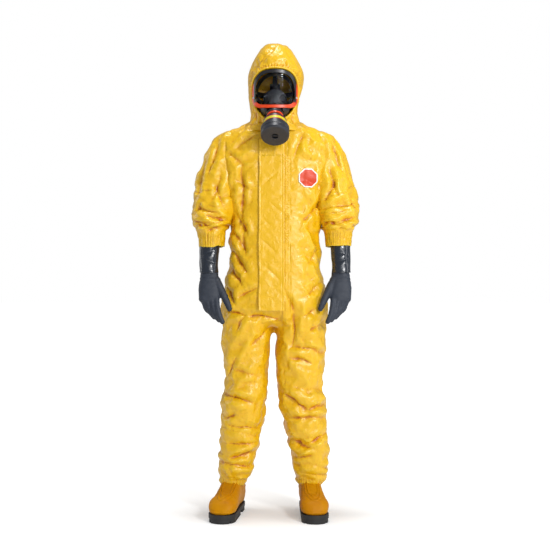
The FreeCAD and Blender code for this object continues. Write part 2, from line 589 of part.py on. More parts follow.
def housing():
    """Filter housing through the chin of the facepiece, waisted where it passes behind the visor frame, with its
    ring, and the valve disc on its inner end."""
    waist = "dims.port_bore_r + 3.2"
    body = turned("port_housing", [
        ("dims.port_bore_r", "0"), ("dims.port_r - 4", "0"), ("dims.port_r - 4", "-7"), ("dims.port_r + 2", "-9"),
        ("dims.port_r + 2", "-18"), (waist, "-24"), (waist, "-32"), ("dims.port_r - 1", "-41"),
        ("dims.port_r - 1", "-dims.housing_length"), ("8", "-dims.housing_length"),
        ("8", "-dims.housing_length + 3"), ("dims.port_bore_r + 5", "-dims.housing_length + 3"),
        ("dims.port_bore_r + 5", "-41"), ("dims.port_bore_r", "-33")])
    finish(body, "port_housing", port_place())
    ring = turned("port_ring", [("dims.port_r - 3.8", "-6.6"), ("dims.port_r + 1", "-6.6"), ("dims.port_r + 1", "-1"),
                                ("dims.port_r", "0"), ("dims.port_r - 3.8", "0")])
    finish(ring, "port_ring", port_place())
    disc = turned("inhale_valve_disc", [("0", "0"), ("dims.valve_r", "0"), ("dims.valve_r", "0.8"), ("0", "0.8")])
    back = Placement(Vector(0, 0, size("-dims.housing_length - 1")), Rotation())
    finish(disc, "inhale_valve_disc", port_place() * back)


def head_harness():
    """One-piece rubber harness inside the hood: a crown band, a nape band and two temple bands."""
    skins = []
    for layer, inset in (("outer", "0"), ("inner", "2")):
        form = make("Part::Ellipsoid", f"head_{layer}", Radius1=f"108 - {inset}", Radius2=f"84 - {inset}",
                    Radius3=f"104 - {inset}")
        skins.append(move(form, y=8, z="dims.visor_z + 36"))
    rubber = cut("harness_shell", *skins)
    bands = (((-FAR, -8, "dims.visor_z + 2"), (FAR, FAR, "dims.visor_z + 22")),
             ((-FAR, -8, "dims.visor_z - 40"), (FAR, FAR, "dims.visor_z - 22")),
             ((-9, -40, "dims.visor_z + 20"), (9, FAR, "dims.visor_z + 300")),
             ((-20, 60, "dims.visor_z - 40"), (20, FAR, "dims.visor_z + 60")))
    zones = fuse("harness_zones", *[box(f"harness_zone_{i}", low, high) for i, (low, high) in enumerate(bands)])
    finish(common("head_harness", rubber, zones), "head_harness")


# ---------------------------------------------------------------- filter, in the port's frame
def filter_canister():
    neck, wide, end = "dims.filter_neck_r", "dims.filter_r", "dims.filter_length"
    body = turned("filter_body", [
        ("15", "-dims.spigot_length"), ("dims.spigot_r", "-dims.spigot_length"), ("dims.spigot_r", "2.8"),
        ("dims.port_r - 2", "2.8"), ("dims.port_r - 1", "9"), (neck, "20"), (neck, "27"), (f"{neck} - 1", "27"),
        (f"{neck} - 1", "43"), (neck, "43"), (neck, "52"), (wide, "58"), (wide, "72"), (f"{wide} - 1.6", "74"),
        (f"{wide} - 1.6", "78"), (f"{wide} - 4", "78"), (f"{wide} - 4", "61"), (f"{neck} - 3", "54"),
        (f"{neck} - 3", "22"), ("dims.port_r - 4", "12"), ("15", "6")])
    finish(body, "filter_body", port_place())
    cap = turned("filter_rim", [
        ("dims.inlet_r", f"{end}"), (f"{wide} - 5", f"{end}"), (f"{wide} - 1.5", f"{end} - 2"), (wide, f"{end} - 6"),
        (wide, "78.2"), (f"{wide} - 3.8", "78.2"), (f"{wide} - 3.8", f"{end} - 4"), ("dims.inlet_r", f"{end} - 4")])
    web = box("filter_web", ("-dims.inlet_r - 1", -2, f"{end} - 4"), ("dims.inlet_r + 1", 2, f"{end} - 1.2"))
    finish(fuse("filter_cap", cap, web), "filter_cap", port_place())
    band = turned("filter_band", [(f"{neck} - 0.9", "27.2"), (f"{neck} + 0.1", "27.2"), (f"{neck} + 0.1", "42.8"),
                                  (f"{neck} - 0.9", "42.8")])
    finish(band, "filter_band", port_place())
    gasket = turned("filter_gasket", [("dims.spigot_r + 0.3", "0.2"), ("dims.port_r - 4", "0.2"),
                                      ("dims.port_r - 4", "2.6"), ("dims.spigot_r + 0.3", "2.6")])
    finish(gasket, "filter_gasket", port_place())
    bed = cylinder("carbon_bed", f"{wide} - 4.4", 16, z=62)
    finish(bed, "filter_carbon_bed", port_place())
    pleats = cylinder("pleats", f"{neck} - 3.4", 26, z=25)
    finish(pleats, "filter_pleats", port_place())


# ---------------------------------------------------------------- arms
def arm(name, side):
    shoulder, elbow, wrist = shoulder_place(side), elbow_place(side), wrist_place(side)
    tape = make("Part::Torus", f"{name}_armhole_tape", Radius1="dims.shoulder_r - 11", Radius2=3)
    tape.Placement = Placement(Vector(), Rotation(Vector(0, 1, 0), 90))
    finish(tape, f"{name}_armhole_tape", Placement(shoulder.Base, Rotation()))

    tube = ball_ended_tube(f"{name}_upper_sleeve", "dims.shoulder_r", "dims.sleeve_end_r", "dims.upper_arm + 4",
                           opening="armhole", bore=0.84)
    if side < 0:
        tube.Placement = Placement(Vector(), Rotation(Vector(0, 0, 1), 180))
        tube = compound(f"{name}_upper_sleeve_turned", [tube])
    end = slanted_end(f"{name}_sleeve_end", "-dims.upper_arm + dims.elbow_relief", "-dims.upper_arm - 2",
                      "dims.sleeve_end_r")
    underarm = make("Part::Box", f"{name}_underarm", Length=FAR, Width=2 * FAR, Height=FAR)
    reach = size("dims.shoulder_x - dims.underarm_x")
    corner = Vector(-reach - FAR if side > 0 else reach, -FAR, -FAR)
    underarm.Placement = Placement(Vector(), shoulder.Rotation.inverted()) * Placement(corner, Rotation())
    finish(cut(f"{name}_upper_sleeve", tube, end, underarm), f"{name}_upper_sleeve", shoulder)

    lower = ball_ended_tube(f"{name}_forearm_sleeve", "dims.elbow_r", "dims.cuff_r", "dims.sleeve_length")
    finish(lower, f"{name}_forearm_sleeve", elbow)
    cuff = turned(f"{name}_cuff_elastic", [
        ("dims.gauntlet_r + 1", "-dims.sleeve_length - 0.4"), ("dims.cuff_r + 1", "-dims.sleeve_length - 0.4"),
        ("dims.cuff_r", "-dims.sleeve_length - 12"), ("dims.gauntlet_r + 1", "-dims.sleeve_length - 12")])
    finish(cuff, f"{name}_cuff_elastic", elbow)
    end_z = "-dims.forearm + dims.wrist_relief"
    gauntlet = turned(f"{name}_gauntlet", [
        ("dims.gauntlet_r - dims.wall", "-dims.gauntlet_top"), ("dims.gauntlet_r", "-dims.gauntlet_top"),
        ("dims.wrist_r", end_z), ("dims.wrist_r - dims.wall", end_z)])
    finish(gauntlet, f"{name}_gauntlet", elbow)

    hand(name, side, wrist)


def hand(name, side, wrist):
    """Palm shell on a ball at the wrist, four fingers on the knuckle axis and the thumb towards the body."""
    skins = []
    for layer, inset in (("outer", "0"), ("inner", "dims.wall")):
        rings = [ellipse(f"{name}_palm_{layer}_{i}", f"{w} - {inset}", f"{d} - {inset}", z=z)
                 for i, (z, w, d) in enumerate((("0", "dims.wrist_ball_r", "dims.wrist_ball_r"),
                                                ("-dims.palm_length * 0.45", "dims.palm_w", "dims.palm_d + 4"),
                                                ("-dims.palm_length + 12", "dims.palm_w", "dims.palm_d - 4")))]
        head = sphere(f"{name}_palm_{layer}_ball", f"dims.wrist_ball_r - {inset}")
        head.Angle1 = 0
        skins.append(fuse(f"{name}_palm_{layer}", loft(f"{name}_palm_{layer}", rings), head))
    way_in = cylinder(f"{name}_palm_way_in", "dims.wrist_ball_r * 0.8", 60)
    thumb_at = Placement(Vector(-side * size("dims.palm_w + 7"), -8, -size("dims.palm_length") * 0.4),
                         Rotation(Vector(0, 1, 0), side * 13) * Rotation(Vector(1, 0, 0), -10))
    thumb_room = sphere(f"{name}_thumb_room", "dims.thumb_r + dims.ball_gap")
    thumb_room.Placement = thumb_at
    thumb_side = cylinder(f"{name}_thumb_side", "dims.thumb_r + dims.ball_gap", "dims.thumb_length")
    thumb_side.Placement = thumb_at * Placement(Vector(0, 0, -size("dims.thumb_length")), Rotation())
    finish(cut(f"{name}_palm", *skins, way_in, thumb_room, thumb_side), f"{name}_glove_palm", wrist)

    fingers = []
    pitch = size("dims.palm_w") / 2 - 0.5
    for place, (finger, length) in enumerate(FINGER_LENGTHS.items()):
        x = side * pitch * (1.5 - place)
        fingers.append(capsule(f"{name}_{finger}", "dims.finger_r", length,
                               Placement(Vector(x, 0, 0), Rotation(Vector(1, 0, 0), -6))))
    knuckles = Placement(Vector(0, 0, -size("dims.palm_length")), Rotation())
    finish(compound(f"{name}_fingers", fingers), f"{name}_glove_fingers", wrist * knuckles)
    thumb = capsule(f"{name}_thumb", "dims.thumb_r", "dims.thumb_length", Placement())
    finish(thumb, f"{name}_glove_thumb", wrist * thumb_at)


def capsule(name, radius, length, place):
    """Hollow round-ended finger stall hanging from the origin, open into the palm at its root."""
    skins = []
    for layer, inset in (("outer", "0"), ("inner", "dims.wall * 0.8")):
        stem = cylinder(f"{name}_{layer}_stem", f"{radius} - {inset}", length, z=f"-({length})")
        root = sphere(f"{name}_{layer}_root", f"{radius} - {inset}")
        tip = sphere(f"{name}_{layer}_tip", f"{radius} - {inset}", z=f"-({length})")
        skins.append(fuse(f"{name}_{layer}", stem, root, tip))
    way_in = cylinder(f"{name}_way_in", f"({radius}) * 0.6", 30)
    stall = cut(name, *skins, way_in)
    stall.Placement = place
    return stall


# ---------------------------------------------------------------- legs
def leg(name, side):
    hip, knee = hip_place(side), knee_place(side)
    tape = make("Part::Torus", f"{name}_leg_seam_tape", Radius1="dims.hip_r - 11", Radius2=3)
    finish(tape, f"{name}_leg_seam_tape", Placement(hip.Base, Rotation()))

    thigh = ball_ended_tube(f"{name}_thigh", "dims.hip_r", "dims.thigh_end_r", "dims.thigh + 4")
    end = slanted_end(f"{name}_thigh_end", "-dims.thigh - 2", "-dims.thigh + dims.knee_relief", "dims.thigh_end_r")
    finish(cut(f"{name}_thigh_trim", thigh, end), f"{name}_trouser_thigh", hip)

    shin = ball_ended_tube(f"{name}_shin", "dims.knee_r", "dims.hem_r", "dims.trouser_length")
    finish(shin, f"{name}_trouser_shin", knee)
    hem = turned(f"{name}_hem_elastic", [
        ("dims.hem_r - 6", "-dims.trouser_length - 0.4"), ("dims.hem_r", "-dims.trouser_length - 0.4"),
        ("dims.hem_r - 2", "-dims.trouser_length - 10"), ("dims.hem_r - 6", "-dims.trouser_length - 10")])
    finish(hem, f"{name}_hem_elastic", knee)
    shaft_end = "-dims.shin + 10"
    shaft = turned(f"{name}_boot_shaft", [
        ("dims.boot_top_r - dims.wall", "-dims.boot_top"), ("dims.boot_top_r", "-dims.boot_top"),
        ("dims.ankle_shaft_r", shaft_end), ("dims.ankle_shaft_r - dims.wall", shaft_end)])
    finish(shaft, f"{name}_boot_shaft", knee)
    boot(name, side)


def foot_outline(inset=0):
    """Sole outline: two circles joined by their outer tangents. Returns a face on the XY plane."""
    heel, toe = size("dims.heel_r") - inset, size("dims.toe_r") - inset
    heel_y, toe_y = size("dims.heel_y"), size("dims.toe_y")
    lean = math.asin((toe - heel) / (heel_y - toe_y))
    touch = [Vector(r * math.cos(lean), y + r * math.sin(lean), 0) for r, y in ((heel, heel_y), (toe, toe_y))]
    mirror = [Vector(-p.x, p.y, 0) for p in touch]
    edges = [Part.LineSegment(touch[0], touch[1]), Part.Arc(touch[1], Vector(0, toe_y - toe, 0), mirror[1]),
             Part.LineSegment(mirror[1], mirror[0]), Part.Arc(mirror[0], Vector(0, heel_y + heel, 0), touch[0])]
    return Part.Face(Part.Wire([edge.toShape() for edge in edges]))


def boot(name, side):
    """Moulded boot foot on a lugged sole."""
    place = foot_place(name, side)
    plate_z, plate_t = size("dims.heel_t"), size("dims.sole_t")
    plate = foot_outline().extrude(Vector(0, 0, plate_t))
    plate.translate(Vector(0, 0, plate_z))
    lugs = foot_outline(2).extrude(Vector(0, 0, plate_z + 1))
    arch = Part.makeBox(FAR, 46, plate_z, Vector(-FAR / 2, -38, -0.001))
    lugs = lugs.cut(arch)
    pitch, groove = 26, 7
    for row in range(8):
        y = -190 + row * pitch + (38 if row > 5 else 0)
        lugs = lugs.cut(Part.makeBox(FAR, groove, plate_z - 7, Vector(-FAR / 2, y, -0.001)))
    sole = doc.addObject("Part::Feature", f"{name}_boot_sole")
    sole.Shape = plate.fuse(lugs).removeSplitter()
    finish(sole, f"{name}_boot_sole", place)

    top = plate_z + plate_t + 0.3
    ankle_z = size("dims.ankle_height")
    skins = []
    for inset in (0, size("dims.wall") * 2):
        ankle = size("dims.ankle_r") - inset
        heel = Part.makeCylinder(ankle, ankle_z - top - inset, Vector(0, 0, top + inset))
        head = Part.makeSphere(ankle, Vector(0, 0, ankle_z), Vector(0, 0, 1), 0, 90)
        skins.append(boot_form(top, inset).fuse([heel, head]))
    way_in = Part.makeCylinder(size("dims.ankle_r") * 0.8, 80, Vector(0, 0, ankle_z - 10))
    upper = doc.addObject("Part::Feature", f"{name}_boot_foot")
    upper.Shape = skins[0].cut(skins[1]).cut(way_in)
    finish(upper, f"{name}_boot_foot", place)


def boot_form(base, inset):
    """The foot of a boot as a loft of flat-bottomed half ellipses from the heel to the toe."""
    wires = []
    for y, half_w, height in ((80, 17, 44), (66, 28, 58), (30, 36, 66), (-20, 40, 62), (-70, 44, 54), (-115, 47, 49),
                              (-155, 47, 46), (-184, 37, 38), (-198, 20, 24)):
        half_w, height = half_w - 0.9 * inset, height - 1.7 * inset
        centre = Vector(0, y - math.copysign(inset, y), base + inset)
        turns = [math.pi * step / 8 for step in range(9)]
        arch = Part.BSplineCurve()
        arch.interpolate([centre + Vector(half_w * math.cos(t), 0, height * math.sin(t) ** 0.8) for t in turns])
        flat = Part.LineSegment(arch.EndPoint, arch.StartPoint)
        wires.append(Part.Wire([arch.toShape(), flat.toShape()]))
    return Part.makeLoft(wires, True)


def build():
    fill_sheet()
    torso_panels()
    crotch_gusset()
    zip_fastener()
    zip_slider()
    flaps()
    chest_badge()
    collar = make("Part::Torus", "collar_tape", Radius1="dims.neck_r - 10", Radius2=3)
    finish(collar, "collar_tape", Placement(Vector(0, size("dims.neck_y"), size("dims.neck_z")), Rotation()))
    hood()
    visor()
    mask_hardware()
    face_seal()
    inner_mask()
    housing()
    head_harness()
    filter_canister()
    for name, side in SIDES:
        arm(name, side)
        leg(name, side)
    doc.recompute()


def check_and_export():
    failed = [o.Label for o in doc.Objects if {"Invalid", "Error"} & set(o.State)]
    for piece in subparts:
        if piece.Shape.isNull() or not piece.Shape.isValid() or not piece.Shape.Solids:
            failed.append(f"{piece.Label} has no valid solid")
    if failed:
        raise RuntimeError(f"failed: {failed}")
    os.makedirs("parts", exist_ok=True)
    for piece in subparts:
        piece.Shape.exportStep(f"parts/{piece.Label}.step")


build()
check_and_export()
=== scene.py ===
"""Looks of the chemical protective suit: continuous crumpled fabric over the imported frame, moulded gloves and boots,
and procedural materials for the respirator's CAD parts. Metres, +Z up, the suit faces -Y."""
import json
import math
import bmesh
import bpy
import numpy as np
from mathutils import Matrix, Vector
from mathutils.bvhtree import BVHTree


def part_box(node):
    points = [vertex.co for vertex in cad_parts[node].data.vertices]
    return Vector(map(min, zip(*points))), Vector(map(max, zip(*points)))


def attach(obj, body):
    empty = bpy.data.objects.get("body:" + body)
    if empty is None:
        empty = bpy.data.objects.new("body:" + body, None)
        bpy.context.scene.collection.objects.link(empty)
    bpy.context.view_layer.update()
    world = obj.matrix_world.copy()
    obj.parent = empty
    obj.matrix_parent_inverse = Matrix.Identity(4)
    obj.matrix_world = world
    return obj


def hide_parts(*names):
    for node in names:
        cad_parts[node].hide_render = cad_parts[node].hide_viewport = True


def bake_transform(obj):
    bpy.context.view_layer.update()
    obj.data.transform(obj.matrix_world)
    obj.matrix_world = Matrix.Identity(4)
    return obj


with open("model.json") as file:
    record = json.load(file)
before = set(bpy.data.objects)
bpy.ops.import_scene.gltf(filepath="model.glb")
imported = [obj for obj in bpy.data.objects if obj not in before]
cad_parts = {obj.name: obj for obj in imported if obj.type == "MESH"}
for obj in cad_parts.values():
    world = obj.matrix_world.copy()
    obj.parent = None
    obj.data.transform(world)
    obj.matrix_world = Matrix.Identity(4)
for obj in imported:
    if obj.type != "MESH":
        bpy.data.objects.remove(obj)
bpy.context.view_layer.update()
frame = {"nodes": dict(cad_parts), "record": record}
JOINTS = {joint["name"]: joint for joint in frame["record"]["behaviour"]["joints"]}
SIDES = (("left", 1), ("right", -1))


def pivot(joint):
    return np.array(JOINTS[joint]["pos_m"])


# ---------------------------------------------------------------- mesh helpers
def new_object(name, vertices, faces, smooth=True):
    mesh = bpy.data.meshes.new(name)
    mesh.from_pydata([tuple(v) for v in vertices], [], [tuple(f) for f in faces])
    mesh.update()
    obj = bpy.data.objects.new(name, mesh)
    bpy.context.scene.collection.objects.link(obj)
    if smooth:
        mesh.polygons.foreach_set("use_smooth", [True] * len(mesh.polygons))
    return obj


def points_of(obj):
    co = np.empty(len(obj.data.vertices) * 3)
    obj.data.vertices.foreach_get("co", co)
    return co.reshape(-1, 3)


def normals_of(obj):
    no = np.empty(len(obj.data.vertices) * 3)
    obj.data.vertices.foreach_get("normal", no)
    return no.reshape(-1, 3)


def set_points(obj, co):
    obj.data.vertices.foreach_set("co", np.asarray(co, float).ravel())
    obj.data.update()


def apply_modifiers(obj):
    """Replaces the mesh with the result of its modifiers."""
    depsgraph = bpy.context.evaluated_depsgraph_get()
    mesh = bpy.data.meshes.new_from_object(obj.evaluated_get(depsgraph))
    obj.modifiers.clear()
    obj.data = mesh
    return obj


def modify(obj, kind, **settings):
    modifier = obj.modifiers.new(kind.lower(), kind)
    for key, value in settings.items():
        setattr(modifier, key, value)
    return apply_modifiers(obj)


def smoothstep(low, high, x):
    t = np.clip((x - low) / (high - low), 0, 1)
    return t * t * (3 - 2 * t)


def profile(stations, z):
    """Smooth interpolation of rows (z, value, ...) at heights z, by cubic Hermite pieces."""
    table = np.array(sorted(map(tuple, stations)), float)
    x, ys = table[:, 0], table[:, 1:]
    slope = np.gradient(ys, x, axis=0)
    z = np.clip(np.asarray(z, float), x[0], x[-1])
    i = np.clip(np.searchsorted(x, z) - 1, 0, len(x) - 2)
    h = (x[i + 1] - x[i])[:, None]
    t = ((z - x[i]) / (x[i + 1] - x[i]))[:, None]
    return ((1 + 2 * t) * (1 - t) ** 2 * ys[i] + t * (1 - t) ** 2 * h * slope[i]
            + t * t * (3 - 2 * t) * ys[i + 1] + t * t * (t - 1) * h * slope[i + 1])


def grid_faces(rows, around, closed=True):
    faces = []
    last = around if closed else around - 1
    for i in range(rows - 1):
        for j in range(last):
            k = (j + 1) % around
            faces.append((i * around + j, i * around + k, (i + 1) * around + k, (i + 1) * around + j))
    return faces


def tube(name, rings, caps=(True, True)):
    """A tube from an array of rings, shape (rows, around, 3), with optional fans closing its ends."""
    rings = np.asarray(rings, float)
    rows, around = rings.shape[:2]
    vertices = list(rings.reshape(-1, 3))
    faces = grid_faces(rows, around)
    for end, row in ((0, 0), (1, rows - 1)):
        if caps[end]:
            centre = len(vertices)
            vertices.append(rings[row].mean(0))
            for j in range(around):
                k = (j + 1) % around
                a, b = row * around + j, row * around + k
                faces.append((b, a, centre) if end == 0 else (a, b, centre))
    return new_object(name, vertices, faces)


def superellipse(angles, half_x, half_y, power):
    """Points of a rounded box section; power 2 is an ellipse."""
    c, s = np.cos(angles), np.sin(angles)
    r = (np.abs(c) ** power + np.abs(s) ** power) ** (-1 / power)
    return half_x * r * c, half_y * r * s


def join(name, *objects):
    vertices, faces, shift = [], [], 0
    for obj in objects:
        vertices += list(points_of(obj))
        faces += [tuple(v + shift for v in poly.vertices) for poly in obj.data.polygons]
        shift += len(obj.data.vertices)
        bpy.data.objects.remove(obj)
    return new_object(name, vertices, faces)


def relax(obj, rounds, factor=0.5, weight=None):
    """Laplacian smoothing of the vertices."""
    edges = np.empty(len(obj.data.edges) * 2, int)
    obj.data.edges.foreach_get("vertices", edges)
    a, b = edges.reshape(-1, 2).T
    co = points_of(obj)
    count = np.bincount(np.r_[a, b], minlength=len(co))[:, None].clip(1)
    for _ in range(rounds):
        total = np.zeros_like(co)
        np.add.at(total, a, co[b])
        np.add.at(total, b, co[a])
        step = factor * (total / count - co)
        co = co + (step if weight is None else step * weight[:, None])
    set_points(obj, co)
    return obj


# ---------------------------------------------------------------- noise, in metres
def hashed(cells, seed):
    """A fixed pseudo-random number in 0..1 for each row of integer cell coordinates."""
    mix = np.array([374761393, 668265263, 2147483647], np.int64)
    h = (cells.astype(np.int64) * mix).sum(-1) + seed * 1442695041
    h = (h ^ (h >> 13)) * 1274126177 & 0x7FFFFFFF
    h = (h ^ (h >> 16)) * 1911520717 & 0x7FFFFFFF
    return ((h ^ (h >> 15)) & 0xFFFFFF) / 0xFFFFFF


def value_noise(p, size, seed=0):
    """Smooth noise in -1..1 over points p, one lump per size."""
    q = p / size
    cell = np.floor(q)
    f = q - cell
    f = f * f * f * (f * (f * 6 - 15) + 10)
    total = np.zeros(len(p))
    for dx in (0, 1):
        for dy in (0, 1):
            for dz in (0, 1):
                w = (f[:, 0] if dx else 1 - f[:, 0]) * (f[:, 1] if dy else 1 - f[:, 1]) * (f[:, 2] if dz else 1 - f[:, 2])
                total += w * hashed(cell + np.array([dx, dy, dz]), seed)
    return 2 * total - 1


def facets(p, size, seed=0, warp=0.35):
    """Warped piecewise-planar crumple: the smallest of several tilted planes keeps every join continuous."""
    shift = np.stack([value_noise(p, size * 1.7, seed + 20 + k) for k in range(3)], -1) * size * warp
    q = (p + shift) / size
    cell = np.floor(q)
    soft = np.full(len(p), 9.0)
    second = np.full(len(p), 9.0)
    for dx in (-1, 0, 1):
        for dy in (-1, 0, 1):
            for dz in (-1, 0, 1):
                c = cell + np.array([dx, dy, dz])
                centre = c + np.stack([hashed(c, seed + k) for k in range(3)], -1)
                d = np.sqrt(((q - centre) ** 2).sum(1)) + 0.35 * hashed(c, seed + 9)
                second = np.minimum(second, np.maximum(soft, d))
                soft = np.minimum(soft, d)
    return soft - 0.75, second - soft


# ---------------------------------------------------------------- base forms of the coverall
ANGLES = np.linspace(0, 2 * math.pi, 96, endpoint=False)
# height, half width, front y, back y, squareness
TRUNK = [(1.532, .078, -.008, .136, 2.1), (1.514, .100, -.018, .150, 2.2), (1.502, .130, -.024, .154, 2.3),
         (1.487, .172, -.031, .154, 2.6), (1.468, .195, -.037, .156, 3.1), (1.440, .206, -.0415, .162, 3.7),
         (1.373, .210, -.0465, .170, 4.0), (1.300, .204, -.0505, .174, 3.8), (1.248, .197, -.0535, .172, 3.5),
         (1.173, .176, -.0575, .168, 2.9), (1.115, .173, -.061, .164, 2.7), (1.050, .175, -.0645, .166, 2.6),
         (.977, .178, -.0685, .172, 2.6), (.906, .190, -.0725, .176, 2.7), (.850, .200, -.076, .176, 2.8),
         (.800, .204, -.075, .172, 2.8), (.765, .203, -.066, .166, 2.8), (.742, .192, -.050, .150, 2.7),
         (.728, .168, -.024, .128, 2.5)]
# height, centre x, half width, centre y, half depth
LEGS = {
    "right": [(.840, -.103, .098, .052, .114), (.720, -.1075, .0975, .050, .112), (.660, -.112, .0935, .049, .102),
              (.563, -.111, .087, .048, .094), (.503, -.112, .085, .047, .092), (.464, -.119, .087, .046, .094),
              (.433, -.1235, .0855, .046, .092), (.366, -.128, .083, .048, .088), (.292, -.1365, .0785, .050, .082),
              (.255, -.142, .075, .051, .078), (.200, -.149, .070, .052, .073), (.144, -.1565, .0605, .053, .064),
              (.118, -.164, .0515, .053, .054), (.106, -.164, .0495, .053, .052)],
    "left": [(.840, .103, .096, .052, .114), (.720, .1005, .0940, .050, .112), (.660, .0990, .0945, .049, .103),
             (.602, .0960, .0960, .048, .098), (.543, .096, .092, .047, .094), (.503, .096, .090, .047, .093),
             (.440, .1065, .0905, .046, .093), (.392, .116, .087, .047, .091), (.329, .119, .081, .049, .085),
             (.274, .1305, .0785, .050, .081), (.237, .134, .073, .051, .077), (.170, .136, .068, .052, .071),
             (.144, .137, .062, .053, .066), (.122, .1365, .0525, .053, .056), (.108, .1355, .0495, .053, .052)],
}
VOXEL = 0.008


def trunk_form():
    heights = np.linspace(TRUNK[-1][0], TRUNK[0][0], 150)
    rows = profile(TRUNK, heights)
    rings = []
    for z, (half, front, back, power) in zip(heights, rows):
        x, y = superellipse(ANGLES, half, (back - front) / 2, power)
        rings.append(np.stack([x, y + (front + back) / 2, np.full_like(x, z)], -1))
    return tube("trunk_form", rings)


def leg_form(side):
    table = LEGS[side]
    heights = np.linspace(table[-1][0], table[0][0], 150)
    rings = []
    for z, (cx, hx, cy, hy) in zip(heights, profile(table, heights)):
        x, y = superellipse(ANGLES, hx, hy, 2.15)
        rings.append(np.stack([x + cx, y + cy, np.full_like(x, z)], -1))
    return tube(f"{side}_leg_form", rings)


def coverall_form():
    """Trunk and both legs merged into one even skin."""
    whole = join("coverall", trunk_form(), leg_form("left"), leg_form("right"))
    modify(whole, "REMESH", mode="VOXEL", voxel_size=VOXEL, use_smooth_shade=True)
    return relax(whole, 6)



def billow(obj, pin, growth, frames, cap, gravity=0.6, bending=0.6):
    """Cloth simulation of a skin that is a little too large for its form, so that it buckles into real folds. It is
    held where pin is 1, and no point moves further than cap."""
    start = points_of(obj)
    group = obj.vertex_groups.new(name="pin")
    levels = np.round(pin, 1)
    for level in np.unique(levels):
        if level > 0:
            group.add([int(i) for i in np.flatnonzero(levels == level)], float(level), "REPLACE")
    cloth = obj.modifiers.new("cloth", "CLOTH")
    cloth.point_cache.frame_start, cloth.point_cache.frame_end = 1, frames
    tuned = cloth.settings
    tuned.quality = 4
    tuned.mass = 0.12
    tuned.tension_stiffness = tuned.compression_stiffness = 22
    tuned.shear_stiffness = 14
    tuned.bending_stiffness = bending
    tuned.tension_damping = tuned.compression_damping = 8
    tuned.air_damping = 3
    tuned.shrink_min = -growth
    tuned.vertex_group_mass = "pin"
    tuned.pin_stiffness = 4
    tuned.effector_weights.gravity = gravity
    cloth.collision_settings.use_collision = False
    scene = bpy.context.scene
    for number in range(1, frames + 1):
        scene.frame_set(number)
    apply_modifiers(obj)
    scene.frame_set(1)
    moved = points_of(obj) - start
    length = np.linalg.norm(moved, axis=1)
    limit = cap * np.tanh(length / cap) / np.maximum(length, 1e-9)
    set_points(obj, start + moved * limit[:, None])
    obj.vertex_groups.clear()
    return obj


def valleys(co, no, lines, wobble=0.006, seed=11):
    """Height of sharp valleys with soft lips along lines (x, z, x, z, width, depth) drawn on the front, or on the
    back where the depth is negative."""
    shake = np.stack([value_noise(co, 0.05, seed + k) for k in (0, 1)], -1) * wobble
    p = co[:, [0, 2]] + shake
    front, back = smoothstep(0.35, -0.15, no[:, 1]), smoothstep(-0.35, 0.15, no[:, 1])
    total = np.zeros(len(co))
    for x1, z1, x2, z2, width, depth in lines:
        a, b = np.array([x1, z1]), np.array([x2, z2])
        along = b - a
        t = np.clip(((p - a) @ along) / (along @ along), 0, 1)
        away = p - a - t[:, None] * along
        side = (along[0] * away[:, 1] - along[1] * away[:, 0]) / np.linalg.norm(along)
        d = np.linalg.norm(away, axis=1)
        taper = np.sin(math.pi * np.clip(t, 0.03, 0.97)) ** 0.6
        h = -np.exp(-1.5 * d / width) + 0.28 * np.exp(-((np.abs(side) - 1.9 * width) / (1.1 * width)) ** 2) * (
            d < 5 * width) * np.exp(-np.maximum(d - np.abs(side), 0) / width)
        total += taper * abs(depth) * h * (front if depth > 0 else back)
    return total


def bunches(height, levels, amplitude):
    """Rounded rolls between sharp valleys at the given levels of a height field."""
    levels = np.array(sorted(levels))
    i = np.clip(np.searchsorted(levels, height) - 1, 0, len(levels) - 2)
    u = (height - levels[i]) / (levels[i + 1] - levels[i])
    inside = (height > levels[0]) & (height < levels[-1])
    roll = 1 - np.abs(2 * np.clip(u, 0, 1) - 1) ** 1.5
    scale = np.minimum((levels[i + 1] - levels[i]) / 0.05, 1.2)
    return np.where(inside, (roll - 0.6) * scale * amplitude, 0)


